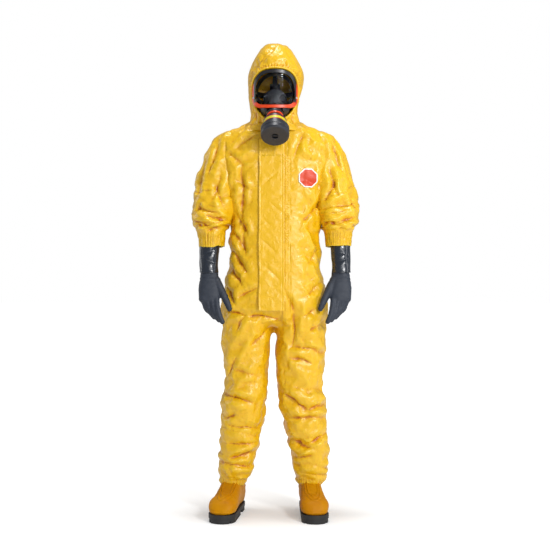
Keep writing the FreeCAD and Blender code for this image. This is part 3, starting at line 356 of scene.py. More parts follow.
# creases of the coverall: x, z to x, z, width, depth
FOLDS = [
    (-.172, 1.017, -.105, .926, .011, .011), (-.182, .954, -.121, .871, .012, .011),
    (-.198, .887, -.152, .804, .012, .010), (-.137, .835, -.066, .871, .009, .007),
    (-.190, .784, -.113, .772, .013, .012), (-.113, .772, .016, .752, .012, .012),
    (-.113, .774, -.155, .700, .009, .009), (.041, .863, .073, .780, .010, .011), (.073, .780, .064, .654, .012, .013),
    (.064, .656, .187, .622, .009, .008), (.048, .612, .150, .586, .009, .008), (-.093, .642, -.016, .721, .012, .008),
    (-.192, .523, -.140, .618, .010, .008), (-.170, .560, -.060, .535, .010, .007),
    (-.125, 1.335, -.126, 1.150, .010, .010), (-.126, 1.150, -.118, .980, .010, .009),
    (-.150, 1.29, -.104, 1.245, .009, .006), (-.190, 1.40, -.110, 1.33, .011, .007),
    (-.150, 1.16, -.100, 1.06, .010, .009), (-.165, 1.10, -.120, 1.02, .009, .009),
    (.157, 1.165, .188, 1.225, .011, .010), (.108, 1.130, .160, 1.180, .010, .007), (.195, 1.34, .160, 1.24, .010, .006),
    (.170, 1.03, .120, .95, .012, .006), (.185, .90, .115, .84, .012, .006), (.170, .80, .100, .76, .011, .006),
    (.105, 1.455, .070, 1.36, .012, .005), (-.060, 1.46, -.150, 1.41, .012, .005), (.130, .70, .185, .74, .011, .006),
    (-.12, 1.34, -.02, 1.26, .014, -.009), (.15, 1.30, .03, 1.20, .014, -.009), (-.16, 1.10, -.03, 1.03, .014, -.010),
    (.16, 1.06, .02, .98, .014, -.010), (-.17, .92, -.04, .86, .013, -.009), (.18, .90, .05, .84, .013, -.009),
    (-.10, .78, -.02, .72, .012, -.010), (.10, .77, .03, .71, .012, -.010), (-.15, .66, -.06, .62, .011, -.008),
    (.15, .67, .07, .60, .011, -.008), (-.04, 1.42, .06, 1.36, .014, -.006),
]
# valleys round each leg: heights at its middle, rise outwards and rise towards the front
ROLLS = {
    "right": ([.105, .130, .172, .206, .262, .348, .392, .452, .530], -.22, -.14),
    "left": ([.108, .132, .180, .236, .280, .366, .410, .486, .560], .16, .14),
}
LEG_FOLDS = [
    (-.205, .468, -.072, .428, .014, .016), (-.200, .367, -.160, .391, .010, .010), (-.195, .352, -.056, .337, .011, .010),
    (-.187, .278, -.058, .281, .010, .008), (-.178, .220, -.080, .245, .011, .012), (-.209, .199, -.087, .192, .010, .010),
    (.030, .470, .120, .406, .016, .017), (.120, .406, .200, .428, .011, .011), (.035, .376, .200, .377, .011, .010),
    (.125, .280, .203, .316, .011, .012), (.045, .292, .152, .256, .012, .013), (.062, .218, .155, .234, .010, .009),
    (-.190, .430, -.120, .360, .011, -.010), (.180, .430, .080, .370, .011, -.010), (-.18, .52, -.08, .47, .013, -.013),
    (.19, .53, .05, .48, .013, -.013), (-.20, .30, -.09, .26, .011, -.010), (.20, .29, .08, .25, .011, -.010),
]


def crumple(obj, calm=None, deep=1.0):
    """Paper-like facets of two sizes, pushed along the normals; calm is 1 where the fabric lies smooth."""
    co, no = points_of(obj), normals_of(obj)
    quiet = np.zeros(len(co)) if calm is None else calm
    broad, edge = facets(co, 0.055, 3)
    fine, fine_edge = facets(co, 0.021, 8)
    height = broad * 0.0080 * (1 - 0.7 * quiet) + fine * 0.0032 * (1 - 0.5 * quiet)
    height += 0.0020 * (np.exp(-edge / 0.05) - 2 * np.exp(-edge / 0.018)) * (1 - 0.6 * quiet)
    height -= 0.0007 * np.exp(-fine_edge / 0.06)
    set_points(obj, co + no * (deep * height)[:, None])
    return obj


def gathers(obj, centre, low, high, count, depth, seed=0):
    """Vertical ripples of an elasticated edge round a centre (x, y) between two heights."""
    co = points_of(obj)
    away = co[:, :2] - np.array(centre)
    angle = np.arctan2(away[:, 1], away[:, 0])
    phase = 2 * value_noise(np.stack([np.cos(angle), np.sin(angle), co[:, 2] * 3], -1), 0.6, seed)
    wave = np.abs(np.sin(count / 2 * angle + phase)) ** 0.8 - 0.55
    wave += 0.35 * np.abs(np.sin(count * 0.9 * angle - 1.7 * phase + 40 * co[:, 2])) - 0.2
    w = smoothstep(low - 0.002, low + 0.004, co[:, 2]) * smoothstep(high, high - 0.03, co[:, 2])
    near = np.linalg.norm(away, axis=1) < 0.12
    out = away / np.maximum(np.linalg.norm(away, axis=1), 1e-6)[:, None]
    co[:, :2] += out * (wave * w * near * depth)[:, None]
    set_points(obj, co)
    return obj


def zip_front(z):
    """How far forward the zip's tape lies at height z."""
    return -.0785 + .0559 * (z - .800)


def coverall():
    """The trunk and trousers as one crumpled skin, still in one piece."""
    skin = coverall_form()
    co, no = points_of(skin), normals_of(skin)
    z = co[:, 2]
    pin = np.maximum(smoothstep(.135, .115, z), smoothstep(1.50, 1.525, z))
    flat = smoothstep(.105, .075, np.abs(co[:, 0] - .005)) * smoothstep(-.01, -.03, co[:, 1]) * smoothstep(.76, .80, z)
    pin = np.maximum(pin, 0.1 + 0.5 * flat)
    inseam = smoothstep(.045, .020, np.abs(co[:, 0] + .008)) * smoothstep(.745, .725, z) * smoothstep(.44, .52, z)
    pin = np.maximum(pin, inseam)
    bulge = 0.002 * value_noise(co, 0.05, 3) + 0.0045 * value_noise(co * [1, 1, 1.6], 0.09, 5)
    set_points(skin, co + no * (bulge * (1 - pin))[:, None])
    billow(skin, pin, 0.070, 18, 0.0078)
    relax(skin, 1)
    modify(skin, "SUBSURF", levels=1, render_levels=1)
    co, no = points_of(skin), normals_of(skin)
    z = co[:, 2]
    height = 1.35 * valleys(co, no, FOLDS + LEG_FOLDS)
    for name, side in SIDES:
        levels, out, front = ROLLS[name]
        centre = profile(LEGS[name], z)
        field = z + out * side * (co[:, 0] - centre[:, 0]) + front * (co[:, 1] - centre[:, 2])
        field += 0.030 * value_noise(co, 0.07, 31 + side)
        rolls = bunches(field, levels, 0.0044) * (1 + 0.8 * value_noise(co, 0.08, 40))
        height += rolls * (co[:, 0] * side > 0) * smoothstep(.12, .16, z) * smoothstep(.56, .50, z)
    set_points(skin, co + no * height[:, None])
    relax(skin, 1, 0.3)
    calm = smoothstep(.11, .08, np.abs(co[:, 0] - .005)) * smoothstep(0, -.03, co[:, 1]) * smoothstep(.76, .80, z)
    crumple(skin, calm * 0.8)
    co = points_of(skin)
    beside = smoothstep(.032, .017, np.abs(co[:, 0])) * smoothstep(.780, .795, co[:, 2]) * smoothstep(1.44, 1.425, co[:, 2])
    sunk = np.maximum(co[:, 1], zip_front(co[:, 2]) + .0012)
    co[:, 1] += (sunk - co[:, 1]) * beside * (co[:, 1] < .02)
    set_points(skin, co)
    for name, side in SIDES:
        x, hx, y, hy = profile(LEGS[name], [0.125])[0]
        gathers(skin, (x, y), .100, .150, 30, 0.0035, seed=side)
    return skin


def carve(skin, groups):
    """Splits a skin into pieces by face. groups gives (name, mask over face centres). Edges keep the whole skin's
    shading, so the cuts don't show."""
    mesh = skin.data
    centres = np.empty(len(mesh.polygons) * 3)
    mesh.polygons.foreach_get("center", centres)
    centres = centres.reshape(-1, 3)
    co, no = points_of(skin), normals_of(skin)
    starts = np.empty(len(mesh.polygons), int)
    sizes = np.empty(len(mesh.polygons), int)
    loops = np.empty(len(mesh.loops), int)
    mesh.polygons.foreach_get("loop_start", starts)
    mesh.polygons.foreach_get("loop_total", sizes)
    mesh.loops.foreach_get("vertex_index", loops)
    pieces = {}
    for name, chosen in groups(centres).items():
        picked = np.flatnonzero(chosen)
        faces = [loops[starts[i]:starts[i] + sizes[i]] for i in picked]
        used, flat = np.unique(np.concatenate(faces), return_inverse=True)
        ends = np.cumsum([len(f) for f in faces])
        obj = new_object(name, co[used], [flat[e - len(f):e] for f, e in zip(faces, ends)])
        obj.data.normals_split_custom_set_from_vertices([tuple(n) for n in no[used]])
        pieces[name] = obj
    bpy.data.objects.remove(skin)
    return pieces


# ---------------------------------------------------------------- sleeves
# height, inner x, outer x, front y, back y of a sleeve; the cap is hidden inside the trunk
SLEEVE = [(1.478, .156, .188, .030, .095), (1.470, .140, .208, .006, .115), (1.456, .128, .228, -.008, .130),
          (1.434, .122, .246, -.014, .140), (1.402, .121, .264, -.018, .148), (1.370, .124, .278, -.021, .151),
          (1.300, .130, .299, -.027, .150), (1.250, .138, .309, -.036, .147), (1.200, .147, .319, -.045, .143),
          (1.160, .156, .322, -.053, .136), (1.128, .168, .318, -.056, .122), (1.100, .181, .306, -.050, .102),
          (1.084, .190, .298, -.040, .088), (1.068, .193, .294, -.034, .078), (1.050, .195, .292, -.033, .072),
          (1.037, .197, .291, -.032, .070)]
# creases of the left sleeve, mirrored and shifted for the right: x, z to x, z, width, depth
SLEEVE_FOLDS = [
    (.215, 1.44, .262, 1.300, .011, .009), (.262, 1.400, .300, 1.240, .011, .009), (.205, 1.330, .240, 1.215, .010, .009),
    (.232, 1.290, .190, 1.200, .011, .010), (.215, 1.175, .312, 1.195, .011, .012), (.195, 1.150, .270, 1.165, .010, .010),
    (.240, 1.125, .316, 1.145, .010, .011), (.195, 1.120, .255, 1.108, .009, .008), (.280, 1.22, .316, 1.17, .009, .008),
    (.21, 1.40, .27, 1.28, .012, -.010), (.20, 1.26, .30, 1.20, .012, -.011), (.19, 1.16, .30, 1.15, .011, -.012),
    (.21, 1.11, .29, 1.12, .010, -.009),
]


def sleeve(name, side):
    """One sleeve from its cap inside the shoulder to the gathered cuff, crumpled like the trunk."""
    heights = np.linspace(SLEEVE[-1][0], SLEEVE[0][0], 90)
    rings = []
    for z, (inner, outer, front, back) in zip(heights, profile(SLEEVE, heights)):
        x, y = superellipse(ANGLES[::2], (outer - inner) / 2, (back - front) / 2, 2.15)
        rings.append(np.stack([side * (x + (inner + outer) / 2), y + (front + back) / 2, np.full_like(x, z)], -1))
    skin = tube(f"{name}_sleeve", rings, caps=(False, True))
    if side < 0:
        skin.data.flip_normals()
    co, no = points_of(skin), normals_of(skin)
    z = co[:, 2]
    co += no * ((0.004 * value_noise(co, 0.05, 13) + 0.003 * value_noise(co, 0.09, 15 + side))
                * smoothstep(1.09, 1.12, z) * smoothstep(1.47, 1.44, z))[:, None]
    set_points(skin, co)
    pin = np.maximum(smoothstep(1.105, 1.085, z), smoothstep(1.455, 1.475, z))
    billow(skin, np.maximum(pin, 0.1), 0.070, 18, 0.0085)
    modify(skin, "SUBSURF", levels=1, render_levels=1)
    co, no = points_of(skin), normals_of(skin)
    flipped = co * [side, 1, 1] + [0, 0, 0.018 if side < 0 else 0]
    height = 1.2 * valleys(flipped, no * [side, 1, 1], SLEEVE_FOLDS, seed=60 + side)
    field = co[:, 2] - 0.25 * side * (co[:, 0] - side * .24) + 0.016 * value_noise(co, 0.06, 70 + side)
    height += bunches(field, [1.075, 1.098, 1.128, 1.158, 1.192, 1.235], 0.006) * smoothstep(1.085, 1.10, co[:, 2])
    set_points(skin, co + no * height[:, None])
    crumple(skin, smoothstep(1.095, 1.08, points_of(skin)[:, 2]), 0.9)
    gathers(skin, (side * .2435, .02), 1.030, 1.098, 38, 0.0062, seed=5 + side)
    co = points_of(skin)
    edge = smoothstep(1.047, 1.036, co[:, 2])
    co[:, 2] -= edge * 0.006 * (1 + value_noise(co, 0.03, 90))
    set_points(skin, co)
    modify(skin, "SOLIDIFY", thickness=0.0016, offset=-1)
    return skin


# ---------------------------------------------------------------- hood
# height, half width, front y, back y, squareness
HOOD = [(1.470, .122, -.058, .166, 2.2), (1.488, .116, -.054, .162, 2.2), (1.500, .106, -.050, .158, 2.2),
        (1.515, .096, -.046, .153, 2.3), (1.540, .089, -.046, .150, 2.5), (1.575, .0885, -.055, .152, 2.9),
        (1.620, .093, -.066, .158, 3.1), (1.665, .098, -.074, .165, 2.9), (1.703, .0990, -.077, .168, 2.6),
        (1.722, .0925, -.075, .165, 2.4), (1.745, .0810, -.068, .158, 2.3), (1.772, .0655, -.050, .140, 2.2),
        (1.794, .0510, -.024, .112, 2.1), (1.806, .0385, .000, .086, 2.0), (1.812, .018, .022, .062, 2.0)]
HOOD_X = 0.004
HOOD_FOLDS = [
    (-.075, 1.700, -.020, 1.780, .008, .006), (-.050, 1.715, .000, 1.795, .007, .005), (.030, 1.790, .075, 1.715, .009, .005),
    (-.088, 1.640, -.086, 1.690, .007, .004), (-.072, 1.560, -.075, 1.505, .008, .007), (.075, 1.570, .070, 1.510, .008, .007),
    (-.055, 1.540, -.062, 1.490, .007, .006), (.060, 1.540, .085, 1.490, .007, .006), (.088, 1.545, .094, 1.60, .008, .005),
    (-.05, 1.74, .03, 1.70, .012, -.007), (-.07, 1.66, .04, 1.63, .012, -.008), (.07, 1.60, -.05, 1.57, .012, -.009),
    (-.08, 1.55, .05, 1.53, .012, -.009), (.06, 1.70, .00, 1.77, .010, -.006),
]


def opening(angles, grow=0.0):
    """Outline of the hood's face opening in x and z: round above, narrowing beneath the visor to the chin."""
    x = np.cos(angles)
    z = np.sin(angles)
    upper = z > 0
    r = np.where(upper, (np.abs(x) ** 2.7 + np.abs(z) ** 2.7) ** (-1 / 2.7), (np.abs(x) ** 1.9 + np.abs(z) ** 1.9) ** (-1 / 1.9))
    half = .0865 + grow
    rise = np.where(upper, .083 + grow, .112 + grow)
    return half * r * x, 1.616 + rise * r * z


def inside_opening(x, z):
    upper = z > 1.616
    power = np.where(upper, 2.7, 1.9)
    rise = np.where(upper, .083, .112)
    return (np.abs(x / .0865) ** power + np.abs((z - 1.616) / rise) ** power) ** (1 / power)


def hood_front(x, z):
    """How far forward the hood's skin lies at x and z."""
    half, front, back, power = profile(HOOD, z).T
    u = np.clip(np.abs((x - HOOD_X * smoothstep(1.60, 1.70, z)) / half), 0, .995)
    return (front + back) / 2 - (back - front) / 2 * (1 - u ** power) ** (1 / power)


def hood_skin():
    """Hood, neck and the flare that dips under the shoulders, with the face opening cut out."""
    heights = np.linspace(HOOD[0][0], HOOD[-1][0], 110)
    rings = []
    for z, (half, front, back, power) in zip(heights, profile(HOOD, heights)):
        x, y = superellipse(np.linspace(0, 2 * math.pi, 180, endpoint=False), half, (back - front) / 2, power)
        shift = HOOD_X * smoothstep(1.60, 1.70, z)
        rings.append(np.stack([x + shift, y + (front + back) / 2, np.full_like(x, z)], -1))
    skin = tube("hood_skin", rings, caps=(False, True))
    co, no = points_of(skin), normals_of(skin)
    co += no * (0.003 * value_noise(co, 0.04, 23) + 0.003 * value_noise(co, 0.08, 24))[:, None]
    set_points(skin, co)
    ring = inside_opening(co[:, 0], co[:, 2])
    front = (co[:, 1] < .04)
    pin = np.maximum(front * smoothstep(1.06, 1.02, ring), smoothstep(1.50, 1.485, co[:, 2]))
    billow(skin, np.maximum(pin, 0.12), 0.07, 14, 0.009)
    modify(skin, "SUBSURF", levels=1, render_levels=1)
    co, no = points_of(skin), normals_of(skin)
    height = valleys(co, no, HOOD_FOLDS, wobble=0.004, seed=81)
    ring = inside_opening(co[:, 0], co[:, 2])
    front = smoothstep(.03, .0, co[:, 1])
    angle = np.arctan2(co[:, 2] - 1.616, co[:, 0])
    pucker = np.abs(np.sin(30 * angle + 3 * value_noise(co, 0.03, 9))) - 0.5
    zone = front * smoothstep(1.30, 1.08, ring) * smoothstep(1.60, 1.64, co[:, 2])
    height += 0.0028 * pucker * zone
    set_points(skin, co + no * height[:, None])
    crumple(skin, None, 0.42)
    # cut the opening and pull its edge onto the outline
    bm = bmesh.new()
    bm.from_mesh(skin.data)
    gone = [f for f in bm.faces if f.calc_center_median().y < .04
            and inside_opening(*[np.array(c) for c in (f.calc_center_median().x, f.calc_center_median().z)]) < 1]
    bmesh.ops.delete(bm, geom=gone, context="FACES")
    for v in bm.verts:
        if v.is_boundary and v.co.z > 1.48:
            k = float(inside_opening(np.array(v.co.x), np.array(v.co.z)))
            v.co.x /= k
            v.co.z = 1.616 + (v.co.z - 1.616) / k
            v.co.y = hood_front(np.array([v.co.x]), np.array([v.co.z]))[0]
    bm.to_mesh(skin.data)
    bm.free()
    return skin


def face_elastic():
    """Puckered elastic binding round the face opening, a ribbon rolled over its edge."""
    count, around = 220, 10
    angles = np.linspace(0, 2 * math.pi, count, endpoint=False)
    x, z = opening(angles)
    path = np.stack([x, hood_front(x, z) - .001, z], -1)
    tangent = np.roll(path, -1, 0) - np.roll(path, 1, 0)
    tangent /= np.linalg.norm(tangent, axis=1)[:, None]
    out = path - np.array([0, .05, 1.616])
    out -= (out * tangent).sum(1)[:, None] * tangent
    out /= np.linalg.norm(out, axis=1)[:, None]
    side = np.cross(tangent, out)
    rings = []
    for i in range(count):
        ruffle = 1 + 0.28 * abs(math.sin(34 * angles[i] + 2 * math.sin(5 * angles[i])))
        ring = []
        for j in range(around):
            a = 2 * math.pi * j / around
            ring.append(path[i] + out[i] * (.0042 * ruffle * math.cos(a) + .0022) + side[i] * (.0034 * ruffle * math.sin(a)))
        rings.append(ring)
    rings.append(rings[0])
    band = tube("hood_face_binding", rings, caps=(False, False))
    bm = bmesh.new()
    bm.from_mesh(band.data)
    bmesh.ops.remove_doubles(bm, verts=bm.verts, dist=1e-6)
    bmesh.ops.recalc_face_normals(bm, faces=bm.faces)
    bm.to_mesh(band.data)
    bm.free()
    return modify(band, "SUBSURF", levels=1, render_levels=1)


# ---------------------------------------------------------------- moulded rubber: gauntlets, gloves and boots
def sweep(name, path, sizes, power=2.0, around=28):
    """A limb along a path of points, with sizes (half width across x, half depth) and rounded ends."""
    path, sizes = np.array(path, float), np.array(sizes, float)
    span = np.r_[0, np.cumsum(np.linalg.norm(np.diff(path, axis=0), axis=1))]
    fine = np.linspace(0, span[-1], 26)
    middle = profile(np.c_[span, path], fine)
    size = profile(np.c_[span, sizes], fine)
    way = np.gradient(middle, fine, axis=0)
    way /= np.linalg.norm(way, axis=1)[:, None]
    angles = np.linspace(0, 2 * math.pi, around, endpoint=False)
    rings = []

    def ring(i, shift, scale):
        across = np.cross(way[i], [0, 1, 0])
        across /= np.linalg.norm(across)
        deep = np.cross(way[i], across)
        x, y = superellipse(angles, size[i, 0] * scale, size[i, 1] * scale, power)
        return middle[i] + way[i] * shift + x[:, None] * across + y[:, None] * deep

    for a in (1.45, 1.1, .75, .4):
        rings.append(ring(0, -math.sin(a) * size[0].min(), math.cos(a)))
    rings += [ring(i, 0, 1) for i in range(len(fine))]
    for a in (.4, .75, 1.1, 1.45):
        rings.append(ring(-1, math.sin(a) * size[-1].min(), math.cos(a)))
    limb = tube(name, rings)
    bm = bmesh.new()
    bm.from_mesh(limb.data)
    bmesh.ops.recalc_face_normals(bm, faces=bm.faces)
    bm.to_mesh(limb.data)
    bm.free()
    return limb


# fingers of the left hand, from the little finger's knuckle inwards: knuckle x, tip x, tip y, tip z, radius
FINGERS = [(.2765, .2480, -.040, .7680, .0095), (.2600, .2290, -.052, .7500, .0108),
           (.2410, .2120, -.064, .7390, .0113), (.2235, .1980, -.074, .7330, .0112)]
THUMB = [(.228, -.026, .905), (.204, -.040, .862), (.186, -.050, .826), (.172, -.056, .794)]
KNUCKLE_Z = .838


def glove(name, side):
    """Palm, fingers and thumb as one rubber skin, cut at the knuckles and at the thumb's root."""
    def place(p):
        return (side * p[0], p[1], p[2])

    parts = [sweep("palm", [place(p) for p in ((.2500, -.008, .945), (.2505, -.022, .905), (.2500, -.036, .868),
                                                (.2490, -.046, .828))],
                   [(.0325, .0270), (.0365, .0235), (.0405, .0200), (.0395, .0165)], 2.4, 40)]
    for knuckle, tip, deep, low, r in FINGERS:
        long = .842 - low
        route = [(knuckle, -.044, .842), (knuckle + (tip - knuckle) * .25, -.050 + (deep + .050) * .5, .842 - long * .38),
                 (knuckle + (tip - knuckle) * .62, -.053 + (deep + .053) * .9, .842 - long * .72), (tip, deep, low + r)]
        parts.append(sweep("finger", [place(p) for p in route], [(r * 1.06, r * 1.1), (r, r), (r * .97, r), (r * .86, r * .88)]))
    parts.append(sweep("thumb", [place(p) for p in THUMB], [(.0185, .0165), (.0155, .0150), (.0132, .0130), (.0112, .0112)]))
    skin = join(f"{name}_hand", *parts)
    modify(skin, "REMESH", mode="VOXEL", voxel_size=0.0024, use_smooth_shade=True)
    relax(skin, 5)
    co, no = points_of(skin), normals_of(skin)
    # soft creases across the back of the hand and at the finger joints
    curl = value_noise(co * [1, 1, 2.2], 0.020, 90 + side) * 0.0009
    for z, depth in ((.912, .0014), (.900, .0010), (.802, .0012), (.774, .0010)):
        curl -= depth * np.exp(-((co[:, 2] - z - 0.002 * value_noise(co, .02, 5)) / .0022) ** 2)
    set_points(skin, co + no * curl[:, None])
    root, tip = np.array(place(THUMB[0])), np.array(place(THUMB[3]))
    along = (tip - root) / np.linalg.norm(tip - root)
    route = np.array([place(p) for p in THUMB])

    def groups(c):
        near = np.full(len(c), 9.0)
        for a, b in zip(route[:-1], route[1:]):
            t = np.clip(((c - a) @ (b - a)) / ((b - a) @ (b - a)), 0, 1)
            near = np.minimum(near, np.linalg.norm(c - a - t[:, None] * (b - a), axis=1))
        thumb = (near < .0195) & ((c - root) @ along > .030) & ((side * c[:, 0] < .207) | (c[:, 2] > .85))
        thumb &= side * c[:, 0] < .216
        fingers = (c[:, 2] < KNUCKLE_Z) & ~thumb
        return {f"{name}_glove_fingers_rubber": fingers, f"{name}_glove_thumb_rubber": thumb,
                f"{name}_glove_palm_rubber": ~fingers & ~thumb}

    return carve(skin, groups), along, root


def gauntlet(name, side):
    """Shiny rubber cuff from inside the sleeve down over the wrist, with slack folds and a rolled lower edge."""
    heights = np.r_[np.linspace(.930, 1.085, 60)]
    rings = []
    for z in heights:
        t = (z - .930) / .155
        half = .0350 + .0045 * t
        cx = .2525 - .004 * t + .0015 * math.sin(3 * t)
        cy = -.014 + .034 * t
        x, y = superellipse(np.linspace(0, 2 * math.pi, 72, endpoint=False), half, half * .92, 2.1)
        rings.append(np.stack([side * (x + cx), y + cy, np.full_like(x, z)], -1))
    skin = tube(f"{name}_gauntlet_rubber", rings, caps=(False, False))
    if side < 0:
        skin.data.flip_normals()
    co, no = points_of(skin), normals_of(skin)
    folds = [(.222, 1.02, .282, .995, .010, .0032), (.225, .968, .280, .985, .009, .0030),
             (.235, 1.05, .262, .965, .009, -.0030), (.282, 1.03, .276, .955, .008, .0022)]
    height = valleys(co * [side, 1, 1], no * [side, 1, 1], folds, wobble=.003, seed=7 + side)
    height += 0.0016 * value_noise(co, .03, 17 + side)
    height += 0.0012 * np.exp(-((co[:, 2] - .9325) / .0025) ** 2)
    set_points(skin, co + no * height[:, None])
    modify(skin, "SUBSURF", levels=1, render_levels=1)
    return modify(skin, "SOLIDIFY", thickness=0.0018, offset=-1)


# the boot's foot along its own length: distance forward of the ankle, half width, top height
FOOT = [(-.0815, .012, .078), (-.078, .024, .098), (-.068, .0335, .118), (-.040, .0390, .138), (.000, .0405, .150),
        (.040, .0425, .134), (.075, .0465, .112), (.105, .0500, .096), (.135, .0515, .0885), (.160, .0495, .0830),
        (.178, .0430, .0735), (.190, .0310, .0590), (.1965, .0150, .0470)]
TOE_OUT = {"left": 5, "right": 12}


def boot(name, side):
    """Moulded boot upper: round shaft, bulbous safety toe, and raised ribs that frame the front of the shaft."""
    ankle = pivot(f"{name}_ankle_bend")
    turn = Matrix.Rotation(math.radians(side * TOE_OUT[name]), 3, "Z")
    angles = np.linspace(0, 2 * math.pi, 56, endpoint=False)
    rings = []
    for forward in np.linspace(FOOT[0][0], FOOT[-1][0], 60):
        half, top = profile(FOOT, [forward])[0]
        u, w = superellipse(angles, half, (top - .0325) / 2, 2.5)
        low = w < 0
        w = np.where(low, np.maximum(w * 1.25, -(top - .0325) / 2), w)
        rings.append(np.stack([u, np.full_like(u, -forward), w + (top + .0325) / 2], -1))
    foot = tube("foot", rings)
    heights = np.linspace(.060, .235, 40)
    shaft_rings = []
    for z in heights:
        t = (z - .060) / .175
        half, deep = .0435 + .0050 * smoothstep(.10, .2, z), .0530 - .004 * t
        x, y = superellipse(angles, half, deep, 2.1)
        lean = np.array(pivot(f"{name}_knee_bend") - ankle)
        shift = lean[0] / lean[2] * (z - ankle[2])
        away = turn.inverted() @ Vector((shift, 0, 0))
        shaft_rings.append(np.stack([x + away.x, y + away.y + .002, np.full_like(x, z)], -1))
    shaft = tube("shaft", shaft_rings)
    for part in (foot, shaft):
        bm = bmesh.new()
        bm.from_mesh(part.data)
        bmesh.ops.recalc_face_normals(bm, faces=bm.faces)
        bm.to_mesh(part.data)
        bm.free()
    upper = join(f"{name}_boot_upper", foot, shaft)
    modify(upper, "REMESH", mode="VOXEL", voxel_size=0.0036, use_smooth_shade=True)
    relax(upper, 14, weight=smoothstep(.04, .06, points_of(upper)[:, 2]))
    modify(upper, "SUBSURF", levels=1, render_levels=1)
    co, no = points_of(upper), normals_of(upper)
    u, forward, z = co[:, 0], -co[:, 1], co[:, 2]
    front = smoothstep(.010, .030, forward)
    height = np.zeros(len(co))
    for radius, lift in ((.0190, .0040), (.0275, .0034)):
        line = np.where(z > .104, np.abs(np.abs(u) - radius), np.abs(np.hypot(u, (z - .104) * 1.1) - radius))
        height += lift * front * np.exp(-(line / .0021) ** 2) * smoothstep(.200, .190, z)
    cap = forward - .112 - 3.0 * u ** 2 * 4
    height += .0026 * smoothstep(-.006, .002, cap) - .0014 * np.exp(-((cap + .006) / .003) ** 2)
    rand = np.abs(z - .0405)
    height += .0014 * np.exp(-(rand / .0025) ** 2)
    heel = smoothstep(.02, -.03, forward) * np.exp(-((z - .095) / .0022) ** 2)
    height += .0016 * heel + .0006 * value_noise(co, .012, 3)
    set_points(upper, co + no * height[:, None])
    co = points_of(upper)
    co[:, 2] = np.maximum(co[:, 2], .0315)
    out = np.array([list(turn @ Vector(p)) for p in co]) + [ankle[0], ankle[1], 0]
    set_points(upper, out)
    return upper


# ---------------------------------------------------------------- flap, placket, badge
class Surface:
    """The front of the crumpled skin as a height field, for laying flat pieces on it."""
    def __init__(self, obj):
        bm = bmesh.new()
        bm.from_mesh(obj.data)
        self.tree = BVHTree.FromBMesh(bm)
        bm.free()

    def front(self, x, z):
        hit = self.tree.ray_cast(Vector((x, -.4, z)), Vector((0, 1, 0)))[0]
        return hit.y if hit else 0.05


def laid_sheet(name, surface, columns, rows, gap, spread=2, rounds=4, clears_zip=True):
    """A sheet of points x by z that rests on the highest folds around it."""
    field = np.array([[surface.front(x, z) for x in columns] for z in rows])
    lowest = field.copy()
    for di in range(-spread, spread + 1):
        for dj in range(-spread, spread + 1):
            lowest = np.minimum(lowest, np.roll(np.roll(field, di, 0), dj, 1))
    lowest[:spread], lowest[-spread:] = field[:spread], field[-spread:]
    for _ in range(rounds):
        padded = np.pad(lowest, 1, mode="edge")
        lowest = (padded[1:-1, 1:-1] * 2 + padded[:-2, 1:-1] + padded[2:, 1:-1] + padded[1:-1, :-2] + padded[1:-1, 2:]) / 6
    y = np.minimum(lowest, field) - gap
    clear = (zip_front(np.asarray(rows)) - .0068)[:, None]
    if clears_zip:
        y = np.minimum(y, clear)
    vertices = [(x, y[i, j], z) for i, z in enumerate(rows) for j, x in enumerate(columns)]
    count = len(columns)
    faces = [(i * count + j, i * count + j + 1, (i + 1) * count + j + 1, (i + 1) * count + j)
             for i in range(len(rows) - 1) for j in range(count - 1)]
    return new_object(name, vertices, faces)


def band(x, centre, width):
    return np.exp(-((x - centre) / width) ** 2)


def finish_sheet(sheet, height, thickness=0.0016):
    co = points_of(sheet)
    co[:, 1] -= height
    set_points(sheet, co)
    modify(sheet, "SUBSURF", levels=1, render_levels=1)
    return modify(sheet, "SOLIDIFY", thickness=thickness, offset=-1)


FLAP_LOW, FLAP_TOP, HINGE_X = .7875, 1.374, .034


def storm_flap(surface):
    """The wide front flap: stitched free edge, doubled hem band at the bottom, crinkles across it."""
    columns = np.linspace(-.0605, HINGE_X, 50)
    rows = np.linspace(FLAP_LOW, FLAP_TOP, 290)
    sheet = laid_sheet("storm_flap_fabric", surface, columns, rows, .0030, 5, 14)
    co = points_of(sheet)
    x, z = co[:, 0], co[:, 2]
    height = .0014 * smoothstep(.8385, .8375, z) - .0008 * band(z, .8335, .0010) + .0055 * smoothstep(.90, .79, z)
    height -= .0008 * band(x, -.0535, .0010) + .0008 * band(x, .0265, .0010)
    height += .0016 * value_noise(co * [1, 1, .7], .045, 51) + .0008 * value_noise(co, .016, 52)
    folds = [(-.03, .95, .02, .90, .007, .0022), (-.05, 1.06, .01, 1.00, .008, .0022), (-.02, 1.20, .03, 1.15, .007, .0018),
             (.01, 1.31, -.05, 1.26, .008, .0018), (-.01, .88, .02, .85, .006, .0014), (-.04, 1.13, -.01, 1.10, .007, .0016)]
    no = np.tile([0., -1., 0.], (len(co), 1))
    height += valleys(co, no, folds, wobble=.003, seed=61)
    shift = co.copy()
    shift[:, 0] -= .0022 * value_noise(np.c_[z, z * 0, z * 0], .07, 3) * smoothstep(.03, -.06, x)
    set_points(sheet, shift)
    return finish_sheet(sheet, height)


def chin_flap(surface):
    columns = np.linspace(-.0600, HINGE_X - .001, 40)
    rows = np.linspace(FLAP_TOP + .001, 1.436, 40)
    sheet = laid_sheet("chin_flap_fabric", surface, columns, rows, .0030, 4, 10)
    co = points_of(sheet)
    height = .0010 * value_noise(co, .03, 57) - .0008 * band(co[:, 2], 1.4295, .0010) - .0008 * band(co[:, 0], -.0535, .001)
    return finish_sheet(sheet, height)


